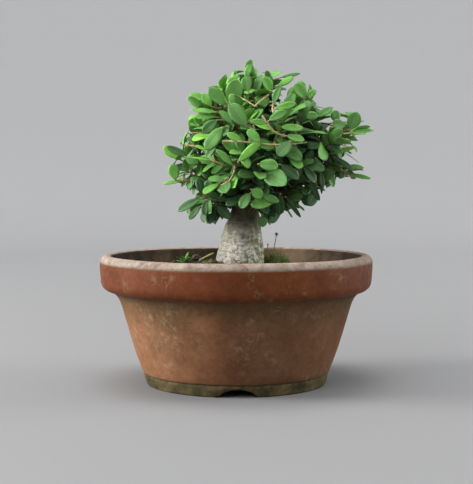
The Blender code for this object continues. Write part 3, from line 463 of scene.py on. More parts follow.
class Shade:
    """Builds a material's nodes round its Principled shader, from object coordinates in metres."""

    def __init__(self, name, roughness, fixed=None):
        self.material = bpy.data.materials.new(name)
        self.material.use_nodes = True
        self.tree = self.material.node_tree
        self.shader = self.tree.nodes["Principled BSDF"]
        for socket, value in {"Roughness": roughness, **(fixed or {})}.items():
            self.shader.inputs[socket].default_value = value
        self.place = self.node("ShaderNodeTexCoord").outputs["Object"]
        self.bumps = None

    def node(self, kind, **settings):
        made = self.tree.nodes.new(kind)
        for key, value in settings.items():
            setattr(made, key, value)
        return made

    def feed(self, socket, value):
        """Links an output to a socket, or sets a constant on it: a number or a colour."""
        if isinstance(value, bpy.types.NodeSocket):
            self.tree.links.new(value, socket)
        elif value is not None:
            socket.default_value = (*value, 1.0) if isinstance(value, tuple) else value

    def maths(self, operation, a, b=None):
        made = self.node("ShaderNodeMath", operation=operation)
        self.feed(made.inputs[0], a)
        self.feed(made.inputs[1], b)
        return made.outputs[0]

    def plus(self, a, b):
        return self.maths("ADD", a, b)

    def times(self, a, b):
        return self.maths("MULTIPLY", a, b)

    def noise(self, size, detail=3.0, roughness=0.55, place=None, distortion=0.0):
        """Noise from 0 to 1 with features of about that size in millimetres."""
        made = self.node("ShaderNodeTexNoise")
        self.feed(made.inputs["Vector"], place or self.place)
        made.inputs["Scale"].default_value = 1.0 / (size * MM)
        made.inputs["Detail"].default_value = detail
        made.inputs["Roughness"].default_value = roughness
        made.inputs["Distortion"].default_value = distortion
        return made.outputs["Fac"]

    def cells(self, size):
        """The distance to the middle of the nearest of many cells of about that size."""
        made = self.node("ShaderNodeTexVoronoi")
        self.feed(made.inputs["Vector"], self.place)
        made.inputs["Scale"].default_value = 1.0 / (size * MM)
        return made.outputs["Distance"]

    def stretched(self, x, y, z):
        """Object coordinates scaled along each axis."""
        made = self.node("ShaderNodeVectorMath", operation="MULTIPLY")
        self.feed(made.inputs[0], self.place)
        made.inputs[1].default_value = (x, y, z)
        return made.outputs[0]

    def axis(self, letter):
        """One object coordinate, in millimetres."""
        made = self.node("ShaderNodeSeparateXYZ")
        self.feed(made.inputs[0], self.place)
        return self.times(made.outputs[letter], 1.0 / MM)

    def value(self, name):
        """A named value per point of the piece."""
        return self.node("ShaderNodeAttribute", attribute_name=name).outputs["Fac"]

    def band(self, value, low, high, to_low=0.0, to_high=1.0):
        """Maps a value from low..high to another range, without overshoot."""
        made = self.node("ShaderNodeMapRange", interpolation_type="SMOOTHSTEP")
        self.feed(made.inputs["Value"], value)
        ends = ("From Min", low), ("From Max", high), ("To Min", to_low), ("To Max", to_high)
        for key, end in ends:
            made.inputs[key].default_value = end
        return made.outputs[0]

    def mix(self, share, a, b, blend="MIX"):
        """Two colours mixed. A colour is an output or a tuple of three."""
        made = self.node("ShaderNodeMix", data_type="RGBA", blend_type=blend)
        self.feed(made.inputs[0], share)
        self.feed(made.inputs[6], a)
        self.feed(made.inputs[7], b)
        return made.outputs[2]

    def coat(self, colour, paint, *masks):
        """A colour with paint over it where all the masks, multiplied together, let it show."""
        share = masks[0]
        for mask in masks[1:]:
            share = self.times(share, mask)
        return self.mix(share, colour, paint)

    def ramp(self, value, *stops):
        """A colour ramp through (place, colour) stops."""
        made = self.node("ShaderNodeValToRGB")
        self.feed(made.inputs[0], value)
        elements = made.color_ramp.elements
        while len(elements) < len(stops):
            elements.new(0.5)
        for element, (place, colour) in zip(elements, stops):
            element.position = place
            element.color = (*colour, 1.0)
        return made.outputs[0]

    def bump(self, height, depth, strength=1.0):
        """Adds relief of that depth in millimetres on top of any before it."""
        made = self.node("ShaderNodeBump")
        made.inputs["Strength"].default_value = strength
        made.inputs["Distance"].default_value = depth * MM
        self.feed(made.inputs["Height"], height)
        if self.bumps:
            self.feed(made.inputs["Normal"], self.bumps)
        self.bumps = made.outputs[0]
        self.feed(self.shader.inputs["Normal"], self.bumps)

    def finish(self, colour, roughness=None):
        self.feed(self.shader.inputs["Base Color"], colour)
        self.feed(self.shader.inputs["Roughness"], roughness)
        return self.material


def clay_material():
    """Old unglazed clay: a warm band, a pale worn lip, lime bloom, algae and a mossy foot."""
    shade = Shade("clay", 0.75, {"Specular IOR Level": 0.12})
    height = shade.axis("Z")
    left_to_right = shade.axis("X")
    broad = shade.noise(34, 4)
    fine = shade.noise(3.2, 5, 0.65)
    streaks = shade.noise(9, 4, 0.6, shade.stretched(1.0, 1.0, 9.0))
    body = shade.ramp(shade.noise(26, 5, 0.6), (0.3, (0.110, 0.045, 0.020)),
                      (0.5, (0.145, 0.064, 0.030)), (0.72, (0.180, 0.086, 0.043)))
    body = shade.coat(body, (0.150, 0.078, 0.034), shade.band(streaks, 0.5, 0.8, 0.0, 0.35))
    # Painted light: the left side, where the key light falls, is paler and warmer
    lit_left_side = shade.plus(left_to_right, shade.band(broad, 0.3, 0.7, -22.0, 22.0))
    body = shade.coat(body, (0.275, 0.130, 0.064), shade.band(lit_left_side, -4, -52, 0.0, 0.8))
    # A film of olive dirt where rain runs off under the band, darkened further as painted shade under
    # its overhang
    dirt_and_shade_under_band = shade.plus(height, shade.band(broad, 0.3, 0.7, -6.0, 6.0))
    body = shade.coat(body, (0.066, 0.050, 0.020), shade.band(dirt_and_shade_under_band, 35, 49), 0.60)
    # Lime bloom in soft clusters of small blots
    dent = shade.band(shade.noise(1.8, 3, 0.6), 0.3, 0.7, -0.24, 0.24)
    large_blots = shade.band(shade.plus(shade.cells(6.0), dent), 0.45, 0.12)
    small_blots = shade.band(shade.plus(shade.cells(2.6), dent), 0.40, 0.10, 0.0, 0.6)
    blots = shade.maths("MAXIMUM", large_blots, small_blots)
    more_on_left = shade.band(left_to_right, -50, 40, 0.07, -0.04)
    clusters = shade.plus(shade.noise(24, 2, 0.5), more_on_left)
    body = shade.coat(body, (0.290, 0.225, 0.140), shade.band(clusters, 0.48, 0.68), blots, 0.40)
    haze = shade.band(shade.noise(42, 3, 0.6), 0.5, 0.75, 0.0, 0.3)
    body = shade.coat(body, (0.170, 0.115, 0.055), haze)
    # The band is redder, with pale flecks and fewer blots
    band = shade.ramp(shade.noise(16, 5, 0.6), (0.3, (0.102, 0.026, 0.0075)),
                      (0.55, (0.136, 0.037, 0.011)), (0.75, (0.162, 0.053, 0.018)))
    flecks = shade.band(shade.noise(1.5, 3, 0.7), 0.62, 0.74)
    band = shade.coat(band, (0.174, 0.118, 0.054), flecks, 0.4)
    in_patches = shade.band(shade.noise(15, 2), 0.56, 0.70)
    band = shade.coat(band, (0.192, 0.157, 0.080), in_patches, blots, 0.6)
    colour = shade.mix(shade.value("on_band"), body, band)
    # The inner wall is dark with old damp and painted shade, and paler in one place at the back
    inside = shade.ramp(shade.noise(15, 5, 0.65, shade.stretched(1.0, 1.0, 0.45)),
                        (0.34, (0.012, 0.009, 0.005)), (0.52, (0.040, 0.027, 0.014)),
                        (0.72, (0.085, 0.055, 0.030)))
    colour = shade.mix(shade.value("on_inside"), colour, inside)
    off_centre = shade.maths("ABSOLUTE", shade.maths("SUBTRACT", left_to_right, 24))
    colour = shade.coat(colour, (0.160, 0.106, 0.064), shade.band(shade.axis("Y"), 30, 60),
                        shade.band(shade.noise(24, 4, 0.65), 0.40, 0.60),
                        shade.band(off_centre, 30, 12), shade.value("on_inside"), 0.85)
    # The lip is worn pale down to a ragged line, with painted shade on its right
    lip = shade.ramp(shade.noise(5, 5, 0.7), (0.32, (0.190, 0.136, 0.100)),
                     (0.5, (0.290, 0.232, 0.188)), (0.7, (0.370, 0.312, 0.262)))
    specks = shade.band(shade.noise(0.9, 2, 0.6), 0.66, 0.72)
    lip = shade.coat(lip, (0.106, 0.076, 0.049), specks, 0.75)
    # Painted shade on the lip's right side
    lip = shade.coat(lip, (0.120, 0.074, 0.050), shade.band(left_to_right, 30, 72, 0.0, 0.35))
    worn = shade.plus(height, shade.band(fine, 0.3, 0.7, -0.5, 0.5))
    worn = shade.band(worn, RIM_TOP - 4.9, RIM_TOP - 2.7)
    colour = shade.mix(shade.times(worn, shade.value("on_lip")), colour, lip)
    # Algae on the foot
    foot = shade.ramp(shade.noise(7, 5, 0.7), (0.33, (0.022, 0.022, 0.009)),
                      (0.5, (0.075, 0.061, 0.026)), (0.7, (0.158, 0.111, 0.055)))
    on_foot = shade.plus(shade.value("on_foot"), shade.band(fine, 0.3, 0.7, -0.2, 0.2))
    colour = shade.mix(shade.band(on_foot, 0.35, 0.7), colour, foot)
    # Pits and grain all over
    pits = shade.band(shade.noise(1.3, 2, 0.5), 0.70, 0.76)
    colour = shade.coat(colour, (0.062, 0.043, 0.027), pits, 0.6)
    grain = shade.band(fine, 0.25, 0.75, 0.0, 0.3)
    colour = shade.mix(grain, colour, (0.141, 0.076, 0.038), "MULTIPLY")
    shade.bump(shade.noise(0.55, 4, 0.7), 0.10, 0.6)
    shade.bump(shade.noise(1.0, 3, 0.6, shade.stretched(0.25, 0.25, 1.6)), 0.16, 0.5)
    shade.bump(pits, -0.25, 0.8)
    glossy = shade.times(shade.value("on_band"), 0.26)
    dull = shade.band(fine, 0.2, 0.8, 0.70, 0.92)
    return shade.finish(colour, shade.maths("SUBTRACT", dull, glossy))


def soil_material():
    """Dark damp potting mix, with paler and redder crumbs."""
    shade = Shade("soil", 0.95)
    colour = shade.ramp(shade.noise(3.0, 5, 0.7), (0.3, (0.012, 0.009, 0.006)),
                        (0.52, (0.040, 0.026, 0.017)), (0.75, (0.095, 0.064, 0.042)))
    tone = shade.value("tone")
    colour = shade.coat(colour, (0.20, 0.125, 0.07), shade.band(tone, 0.78, 0.98))
    colour = shade.coat(colour, (0.010, 0.008, 0.006), shade.band(tone, 0.25, 0.0, 0.0, 0.75))
    green = shade.band(shade.noise(17, 3), 0.56, 0.7)
    colour = shade.coat(colour, (0.060, 0.085, 0.020), green, 0.55)
    shade.bump(shade.noise(0.7, 5, 0.75), 0.35)
    return shade.finish(colour, shade.band(shade.noise(2.0), 0.3, 0.7, 0.82, 1.0))


def bark_material():
    """Pale, pitted bark on the root crown, browner and ringed above, with algae on one side."""
    shade = Shade("bark", 0.85, {"Specular IOR Level": 0.25})
    height = shade.axis("Z")
    left_to_right = shade.axis("X")
    wander = shade.noise(9, 4, 0.6)
    ragged = shade.band(wander, 0.25, 0.75, -5.0, 5.0)
    pale = shade.ramp(shade.noise(1.6, 6, 0.74), (0.31, (0.130, 0.118, 0.085)),
                      (0.40, (0.400, 0.380, 0.310)), (0.58, (0.560, 0.540, 0.465)))
    # Painted shade on the pale bark's left and painted light from its middle to its right
    pale = shade.mix(1.0, pale, shade.band(left_to_right, -10.0, 2.0, 0.54, 1.30), "MULTIPLY")
    upper = shade.ramp(shade.noise(5.0, 5, 0.6), (0.3, (0.100, 0.098, 0.058)),
                       (0.5, (0.150, 0.145, 0.092)), (0.72, (0.215, 0.205, 0.140)))
    colour = shade.mix(shade.band(shade.plus(height, ragged), 73, 90), pale, upper)
    rings = shade.noise(1.1, 5, 0.7, shade.stretched(0.22, 0.22, 1.5), 0.6)
    colour = shade.coat(colour, (0.065, 0.060, 0.038), shade.band(height, 66, 76, 0.25, 1.0),
                        shade.band(rings, 0.50, 0.38), 0.6)
    limb = shade.ramp(shade.noise(3.0, 4, 0.6), (0.3, (0.15, 0.115, 0.06)), (0.7, (0.36, 0.30, 0.17)))
    colour = shade.mix(shade.value("on_limb"), colour, limb)
    pits = shade.band(shade.noise(1.1, 3, 0.6, shade.stretched(0.8, 0.8, 1.4)), 0.57, 0.63)
    clusters = shade.band(shade.noise(6.0, 3, 0.6), 0.42, 0.58, 0.35, 1.0)
    pits = shade.times(shade.times(pits, clusters), shade.band(height, 90, 68))
    colour = shade.coat(colour, (0.040, 0.036, 0.026), pits, 0.9)
    # Algae on the right, and low down all round
    algae = shade.times(shade.band(shade.plus(left_to_right, ragged), 2.5, 10.0),
                        shade.band(height, 96, 82, 0.35, 1.0))
    algae = shade.times(algae, shade.band(shade.noise(2.2, 4, 0.7), 0.38, 0.58))
    low = shade.times(shade.band(height, 69.5, 65.5), shade.band(shade.noise(6, 3), 0.46, 0.6))
    colour = shade.coat(colour, (0.085, 0.105, 0.028), shade.maths("MAXIMUM", algae, low), 0.85)
    shade.bump(shade.noise(0.6, 5, 0.7), 0.20)
    shade.bump(rings, 0.30, 0.8)
    shade.bump(pits, -0.5)
    return shade.finish(colour, shade.band(wander, 0.3, 0.7, 0.75, 0.95))


def leaf_material(name, hues):
    """A leathery leaf: a pale midrib, faint side veins, a light margin of painted light shining
    through, and a greyer underside.

    hues are the colours from the oldest leaf to the newest, for the value tone."""
    shade = Shade(name, 0.45, {"Specular IOR Level": 0.24, "Subsurface Weight": 0.08,
                               "Subsurface Scale": 0.0008, "Subsurface Radius": (0.5, 1.0, 0.2)})
    across = shade.maths("ABSOLUTE", shade.value("across"))
    colour = shade.ramp(shade.value("tone"), *((k / (len(hues) - 1), h) for k, h in enumerate(hues)))
    mottle = shade.noise(3.2, 4, 0.6)
    colour = shade.coat(colour, (0.05, 0.13, 0.035), shade.band(mottle, 0.35, 0.7, 0.0, 0.28))
    slant = shade.maths("SUBTRACT", shade.times(shade.value("along"), 9.0), shade.times(across, 1.5))
    veins = shade.band(shade.maths("PINGPONG", slant, 0.5), 0.06, 0.0)
    nerves = shade.maths("MAXIMUM", shade.band(across, 0.085, 0.025), shade.times(veins, 0.28))
    colour = shade.coat(colour, (0.24, 0.40, 0.12), nerves, 0.32)
    # Painted light shining through the leaf's margin
    colour = shade.coat(colour, (0.20, 0.36, 0.085), shade.band(across, 0.90, 1.0, 0.0, 0.14))
    under = shade.mix(0.45, colour, (0.16, 0.26, 0.12))
    colour = shade.mix(shade.band(shade.value("under"), 0.3, 0.7), colour, under)
    shade.bump(nerves, -0.10, 0.8)
    shade.bump(mottle, 0.10, 0.6)
    return shade.finish(colour, shade.band(mottle, 0.3, 0.7, 0.40, 0.56))


def plain_plant_material(name, dark, light, grain, roughness):
    """A stem, stalk or moss with two tones and a fine grain."""
    shade = Shade(name, roughness)
    tone = shade.plus(shade.noise(grain, 4, 0.6), shade.times(shade.value("tone"), 0.5))
    colour = shade.ramp(tone, (0.45, dark), (0.95, light))
    shade.bump(shade.noise(grain * 0.35, 3), 0.12)
    return shade.finish(colour)


def fitting_material(name, metallic, grain, clean, dusty, relief, smooth, dull):
    """A made part under dust or oxide, which dulls it from one roughness to another."""
    shade = Shade(name, smooth, {"Metallic": metallic})
    dust = shade.noise(grain, 4, 0.7)
    shade.bump(dust, relief)
    colour = shade.ramp(dust, (0.4, clean), (0.75, dusty))
    return shade.finish(colour, shade.band(dust, 0.4, 0.7, smooth, dull))


# ------------------------------------------------------------------ crown, as in the CAD model


class Space:
    """What the crown already holds, to keep each new twig and leaf clear of it."""

    def __init__(self):
        self.items = []

    @staticmethod
    def ball(points):
        centre = sum(points, Vector()) / len(points)
        return centre, max((p - centre).length for p in points)

    def add(self, points, faces):
        self.items.append((*self.ball(points), BVHTree.FromPolygons(points, faces)))
        return self.items[-1]

    def is_free(self, points, faces, without=None):
        centre, reach = self.ball(points)
        tree = BVHTree.FromPolygons(points, faces)
        for item in self.items:
            if item is without or (centre - item[0]).length > reach + item[1]:
                continue
            if tree.overlap(item[2]):
                return False
        return True


class Leaf:
    """A leaf's place and form. Its midrib bends away from its upper face by droop."""

    def __init__(self, base, along, face, length, width, droop):
        self.base = base
        self.along = along.normalized()
        self.face = (face - self.along * face.dot(self.along)).normalized()
        self.side = self.along.cross(self.face)
        self.length = length
        self.width = width
        self.droop = droop

    def midrib(self, t):
        return self.base + (self.along * t - self.face * self.droop * t * t) * self.length

    def half_width(self, t):
        """Widest just past the middle, with a wedge-shaped base and a blunt tip."""
        return self.width / 2 * (max(0.0, t) / 0.53) ** 0.8 * (max(0.0, 1 - t) / 0.47) ** 0.62

    def is_inside(self):
        """Whether its tip and its two widest edges lie inside the crown's outline."""
        first, _, second, _ = self.ring(0.53)
        return all(in_outline(p) for p in (self.midrib(1.0), first, second))

    def ring(self, t, grow=0.0):
        """Four points round the blade: one edge, upper face, other edge, lower face."""
        middle = self.midrib(t)
        reach = self.side * (max(self.half_width(t), 0.5) + grow)
        thick = self.face * (LEAF_THICKNESS / 2 + grow)
        return [middle - reach, middle + thick, middle + reach, middle - thick]

    def skin(self, root, grow):
        """Rings from its root on the twig to near its tip, each matched to the one before."""
        middle = sum(root, Vector()) / 4
        rings = [[p + (p - middle).normalized() * grow for p in root]]
        for t in BLADE_STATIONS:
            rings.append(matched(rings[-1], self.ring(t, grow)))
        return rings

    def polygons(self, root, grow=0.0, start=0.0):
        """The blade as a closed shape for tests, from a share of its stalk to its tip."""
        rings = self.skin(root, grow)
        rings[0] = [p.lerp(q, start) for p, q in zip(rings[0], rings[1])]
        points, faces = rings_as_polygons(rings)
        tip = len(points)
        points.append(self.midrib(1.0 + grow / self.length))
        faces += [(tip - 4 + k, tip - 4 + (k + 1) % 4, tip) for k in range(4)]
        faces.append((0, 1, 2, 3))
        return points, faces


def in_outline(point):
    """Whether a point lies inside the crown's outline, seen from the front."""
    inside = False
    for (x0, z0), (x1, z1) in zip(CROWN_OUTLINE, CROWN_OUTLINE[1:] + CROWN_OUTLINE[:1]):
        crosses = (z0 > point.z) != (z1 > point.z)
        if crosses and point.x < x0 + (x1 - x0) * (point.z - z0) / (z1 - z0):
            inside = not inside
    return inside


def matched(lower, upper):
    """The upper ring of four, turned or flipped so that the skin to it twists least."""
    return min(
        ([upper[(s + d * k) % 4] for k in range(4)] for s in range(4) for d in (1, -1)),
        key=lambda ring: sum((p - q).length for p, q in zip(lower, ring)),
    )


def shoot_tips():
    """Where every shoot ends: the listed ones, then the rings at the back of the crown."""
    tips = [Vector(p) for p in FRONT_SHOOTS]
    for height, radius, azimuths in BACK_RINGS:
        for azimuth in azimuths:
            a = math.radians(azimuth)
            tips.append(Vector((CROWN_AXIS.x + radius * math.cos(a), radius * math.sin(a), height)))
    return tips


def nearest_wood(tip, wood):
    """Points of the wood that a shoot may grow from, best first: near its tip and behind it."""
    found = []
    for points, radii in wood:
        for point, radius, tangent in zip(points, radii, tangents(points)):
            reach = tip - point
            distance = reach.length
            if distance > 11.0 and radius < 5.0:
                cost = distance * (1.35 - 0.5 * tangent.dot(reach) / distance)
                found.append((cost, point, radius, tangent))
    return [item[1:] for item in sorted(found, key=lambda item: item[0])]


def bowed_path(start, control, end, steps):
    """Points on a curve from start to end that leaves start towards control."""
    points = []
    for k in range(steps + 1):
        t = k / steps
        points.append(start * (1 - t) ** 2 + control * 2 * t * (1 - t) + end * t * t)
    return points


def twig_path(tip, wood, space, rng):
    """A slightly bowed twig from the wood's surface to its tip, clear of what is there."""
    for origin, radius, tangent in nearest_wood(tip, wood)[:12]:
        reach = tip - origin
        steps = 2 * max(4, min(7, round(reach.length / 4.2)))
        for attempt in range(10):
            wander = random_vector(rng)
            control = origin + reach * 0.45 + tangent * 0.12 * reach.length + UP * 1.2
            control += wander * (0.8 + 0.45 * attempt)
            heading = (control - origin).normalized()
            start = origin + heading * (radius * 1.05 + 1.3 + 0.12 * attempt)
            points = bowed_path(start, control, tip, steps)
            skin = rings_as_polygons(twig_corners(points, LEAF_CLEARANCE))
            if space.is_free(*skin):
                return points
    raise RuntimeError(f"no room for the shoot that ends at {tuple(tip)}")


def leaf_at(station, axis, side, share, tip, rng, attempt):
    """A leaf that may grow from a twig: it spreads from the axis, and turns to the light."""
    spread = math.radians(70.0 - 34.0 * share + rng.uniform(-9, 9) * (1 + 0.25 * attempt))
    wander = random_vector(rng)
    along = axis * math.cos(spread) + side * math.sin(spread) + wander * (0.12 + 0.04 * attempt)
    lift = max(-0.45, min(0.22, (station.z - 120.0) / 90.0))
    along = (along.normalized() + UP * lift).normalized()
    outward = (tip - CROWN_AXIS).normalized()
    face = UP * 0.75 + outward * 0.55 + wander.cross(along) * 0.35
    length = LEAF_LENGTH * rng.uniform(0.78, 1.22) * (1 - 0.012 * attempt)
    width = length * LEAF_RATIO * rng.uniform(0.85, 1.15)
    return Leaf(station, along, face, length, width, rng.uniform(0.05, 0.24))


def leaf_sites(path):
    """Where leaves may grow on a twig, as (segment, side): its end, then crossed pairs inwards."""
    last = len(path) - 1
    sites = [(last, 0)]
    for segment in range(last - 1, 1, -1):
        pair = segment % 2
        sites += [(segment, pair), (segment, pair + 2)]
    return sites


def grow_leaf(site, path, tip, space, twig, rng):
    """A leaf at one site of a twig, or None if there is no room for it."""
    segment, side = site
    last = len(path) - 1
    across, other = cross_frames(path)[segment]
    outward = [other, -across, -other, across][side]
    root = side_of_twig(twig_corners(path), segment, side)
    middle = sum(root, Vector()) / 4
    axis = tangents(path)[segment]
    share = 1.9 if segment == last else segment / last
    for attempt in range(LEAF_TRIES):
        leaf = leaf_at(middle, axis, outward, share, tip, rng, attempt)
        if not leaf.is_inside():
            continue
        clear = space.is_free(*leaf.polygons(root, LEAF_CLEARANCE), without=twig)
        if clear and space.is_free(*leaf.polygons(root, 0.0, 0.12)):
            space.add(*leaf.polygons(root))
            return leaf
    return None


def grow_crown():
    """Every shoot as its twig's path, its leaves as {site: Leaf} and its twig as stored in space,
    then space and the wood. All the twigs grow before any leaf, and the end leaves first."""
    spine = catmull_rom(TRUNK, 4)
    leader = ([Vector(p[:3]) for p in spine], [p[3] for p in spine])
    wood = [leader, *limb_paths()]
    space = Space()
    for points, radii in wood:
        space.add(*rings_as_polygons(tube_rings(points, [r * 1.05 + 0.25 for r in radii], 12)))
    rng = random.Random(SHOOT_SEED)
    shoots = []
    for tip in shoot_tips():
        path = twig_path(tip, wood, space, rng)
        twig = space.add(*rings_as_polygons(twig_corners(path, 0.1)))
        shoots.append((path, {}, tip, twig))
    for rank in range(max(len(leaf_sites(shoot[0])) for shoot in shoots)):
        for path, leaves, tip, twig in shoots:
            sites = leaf_sites(path)
            if rank < len(sites):
                leaf = grow_leaf(sites[rank], path, tip, space, twig, rng)
                if leaf:
                    leaves[sites[rank]] = leaf
    return [(path, leaves, twig) for path, leaves, tip, twig in shoots], space, wood


def twig_corners(path, grow=0.0):
    """Square rings along a twig, thinner towards its end."""
    rings = []
    last = len(path) - 1
    for k, (point, (a, b)) in enumerate(zip(path, cross_frames(path))):
        half = TWIG_HALF_WIDTH * (1.25 - 0.45 * k / last) + grow
        corners = ((a + b), (b - a), (-a - b), (a - b))
        rings.append([point + corner * half for corner in corners])
    return rings


def side_of_twig(corners, segment, side):
    """The four corners that a leaf grows from: one side of a segment, or the twig's end."""
    if segment == len(corners) - 1:
        return list(corners[segment])
    low, high = corners[segment], corners[segment + 1]
    nxt = (side + 1) % 4
    return [low[side], low[nxt], high[nxt], high[side]]


# ------------------------------------------------------------------ pot


def arc(centre, radius, start, stop, steps):
    """Points on a circular arc, as (radius, height), from start to stop in degrees."""
    points = []
    for k in range(steps + 1):
        angle = math.radians(start + (stop - start) * k / steps)
        points.append((centre[0] + radius * math.cos(angle), centre[1] + radius * math.sin(angle)))
    return points


def pot_outline():
    """The wall's closed outline as in the CAD model, with finer arcs, and what part each point is."""
    inner_lip = (RIM_INNER_RADIUS + 2.2, RIM_TOP - 2.35)
    foot = arc((FOOT_RADIUS - 1.2, 1.2), 1.2, -90, 0, 4)
    foot += [(50.6, 3.4), (51.1, 5.6), (51.0, 6.0), (50.55, 6.3), (50.7, 6.6)]
    body = [
        (BODY_BOTTOM_RADIUS - 0.4, 6.9), (BODY_BOTTOM_RADIUS + 0.1, 7.6), (53.4, 11.4), (54.8, 15.2),
        (56.1, 18.9), (57.4, 22.9), (58.7, 27.3), (60.0, 31.9), (61.3, 36.1), (62.5, 40.2),
        (63.3, 43.0), (64.1, 45.2), (64.7, 46.6), (65.5, 48.0), (66.4, 49.2), (67.5, 50.2),
        (68.6, 50.9), (69.6, 51.3),
    ]
    band = arc(BAND_UNDERSIDE, BAND_CURVE_RADIUS, -70.0, -3.0, 9)
    band += [(74.65, 59.0), (74.85, 61.8), (RIM_RADIUS, 64.6), (RIM_RADIUS, 66.4)]
    lip = arc((RIM_RADIUS - 3.8, RIM_TOP - 3.9), 3.8, 4.0, 90.0, 9) + arc(inner_lip, 2.2, 100, 126, 2)
    inside = arc(inner_lip, 2.2, 140.0, 180.0, 3) + [
        (67.4, 66.2), (65.6, 61.5), (63.8, 56.5), (61.4, 50.0), (59.2, 44.0), (55.3, 34.5),
        (51.5, 25.0), (FLOOR_RADIUS + 2.2, FLOOR_TOP + 3.4), (FLOOR_RADIUS, FLOOR_TOP),
        (30.0, FLOOR_TOP), (DRAIN_RADIUS + 0.8, FLOOR_TOP), (DRAIN_RADIUS, FLOOR_TOP - 0.9),
    ]
    underside = [
        (DRAIN_RADIUS, FOOT_RECESS + 0.5), (DRAIN_RADIUS + 0.6, FOOT_RECESS), (30.0, FOOT_RECESS),
        (FOOT_INNER_RADIUS - 0.9, FOOT_RECESS), (FOOT_INNER_RADIUS, FOOT_RECESS - 0.9),
        (FOOT_INNER_RADIUS, 0.8), (FOOT_INNER_RADIUS + 0.8, 0.0),
    ]
    parts = ("foot", foot), ("body", body), ("band", band), ("lip", lip), ("inside", inside)
    return [(part, point) for part, points in (*parts, ("foot", underside)) for point in points]


def notch_top(angle, radius):
    """How high the foot's drain notches reach at an angle and a radius, or 0 between them."""
    highest = 0.0
    for notch in NOTCH_ANGLES:
        away = (angle - math.radians(notch) + math.pi) % math.tau - math.pi
        side = abs(radius * math.sin(away))
        if abs(away) < 1.0 and side < NOTCH_ARC_RADIUS:
            top = NOTCH_HEIGHT - NOTCH_ARC_RADIUS + math.sqrt(NOTCH_ARC_RADIUS ** 2 - side ** 2)
            highest = max(highest, top)
    return highest


def build_pot():
    """The turned pot with the small unevenness of hand work: a wobble, throwing marks and dents."""
    outline = pot_outline()
    values = {f"on_{part}": [] for part in ("band", "lip", "inside", "foot")}
    points = []
    for part, (radius, height) in outline:
        for k, (x, y) in enumerate(circle(1.0, POT_SEGMENTS)):
            free = smooth_step(0.5, 6.0, height)
            uneven = THROWN_WOBBLE * rough((x * 40, y * 40, height), 26)
            uneven += THROWING_RIDGES * rough((x * radius, y * radius, height * 6), 7, 4.0)
            lift = RIM_WAVE * rough((x * 60, y * 60, 0), 34, 9.0) * smooth_step(50, 70, height)
            reach = radius + (uneven - 0.14) * free
            top = height + lift - 0.1 * free
            if part == "foot" and radius > 40 and height < 5.2:
                top = max(top, notch_top(math.tau * k / POT_SEGMENTS, radius))
            points.append((reach * x, reach * y, top))
            for name, given in values.items():
                given.append(1.0 if name == f"on_{part}" else 0.0)
    skin = Skin(*values)
    skin.add(points, ring_quads(len(outline), POT_SEGMENTS, closed=True), **values)
    make_piece("clay_pot", skin, [clay_material()], "clay", "pot")


# ------------------------------------------------------------------ soil


def ground(x, y):
    """The detailed soil's height: the CAD model's mound with crumbs and hollows."""
    fine = 0.45 * rough((x, y, 0), 4.2, 2.0) + 0.3 * rough((x, y, 3), 1.7, 5.0)
    return soil_height(x, y) + fine


def build_soil():
    """A closed body of soil whose top has crumbs in its relief."""
    edge = wall_inner_radius(SOIL_EDGE_HEIGHT) - SOIL_GAP
    points = []
    for ring in range(1, SOIL_RINGS + 1):
        flat = circle(edge * (ring / SOIL_RINGS), SOIL_SEGMENTS)
        points += [(x, y, ground(x, y)) for x, y in flat]
    heel = (wall_inner_radius(SOIL_HEEL) - SOIL_GAP, SOIL_HEEL)
    for radius, height in (heel, (FLOOR_RADIUS - 1.0, FLOOR_TOP + 0.4)):
        points += [(x, y, height) for x, y in circle(radius, SOIL_SEGMENTS)]
    faces = ring_quads(SOIL_RINGS + 2, SOIL_SEGMENTS)
    middle = len(points)
    points.append((0.0, 0.0, ground(0.0, 0.0)))
    faces += [(middle, k, (k + 1) % SOIL_SEGMENTS) for k in range(SOIL_SEGMENTS)]
    faces.append(tuple(range(middle - SOIL_SEGMENTS, middle)))
    skin = Skin("tone")
    skin.add(points, faces, tone=0.5)
    make_piece("soil_bed", skin, [soil_material()], "soil", "soil")


def ball_mesh(subdivisions):
    """The points and faces of a round ball of radius 1."""
    bm = bmesh.new()
    bmesh.ops.create_icosphere(bm, subdivisions=subdivisions, radius=1.0)
    points = [v.co.copy() for v in bm.verts]
    faces = [tuple(v.index for v in f.verts) for f in bm.faces]
    bm.free()
    return points, faces


def crumb(ball, centre, size, rng):
    """A lump: a ball with dents, turned and squashed at random."""
    points, faces = ball
    seed = rng.uniform(0, 100)
    turn = random_vector(rng).to_track_quat("Z", "Y")
    scale = Vector((rng.uniform(0.75, 1.25), rng.uniform(0.75, 1.25), 0.75 * rng.uniform(0.7, 1.2)))
    shaped = []
    for p in points:
        dented = turn @ (p * (1 + 0.42 * noise.noise(p * 1.3 + Vector((seed, 0, 0)))))
        shaped.append(tuple(c + d * s * size / 2 for c, d, s in zip(centre, dented, scale)))
    return shaped, faces


def build_crumbs():
    """Loose crumbs all over the soil, smaller ones between the larger."""
    rng = random.Random(CRUMB_SEED)
    edge = wall_inner_radius(SOIL_EDGE_HEIGHT)
    trunk_x, trunk_radius = CRUMB_FREE
    skin = Skin("tone")
    for count, subdivisions, small, large in CRUMB_KINDS:
        ball = ball_mesh(subdivisions)
        for _ in range(count):
            size = small + (large - small) * rng.random() ** 2
            reach = (edge - size * 0.7) * math.sqrt(rng.random())
            angle = rng.uniform(0, math.tau)
            x, y = reach * math.cos(angle), reach * math.sin(angle)
            tone = rng.random()
            if math.hypot(x - trunk_x, y) >= trunk_radius:
                lump = crumb(ball, (x, y, ground(x, y) + size * 0.12), size, rng)
                skin.add(*lump, tone=tone)
    make_piece("soil_crumbs", skin, [soil_material()], "soil")


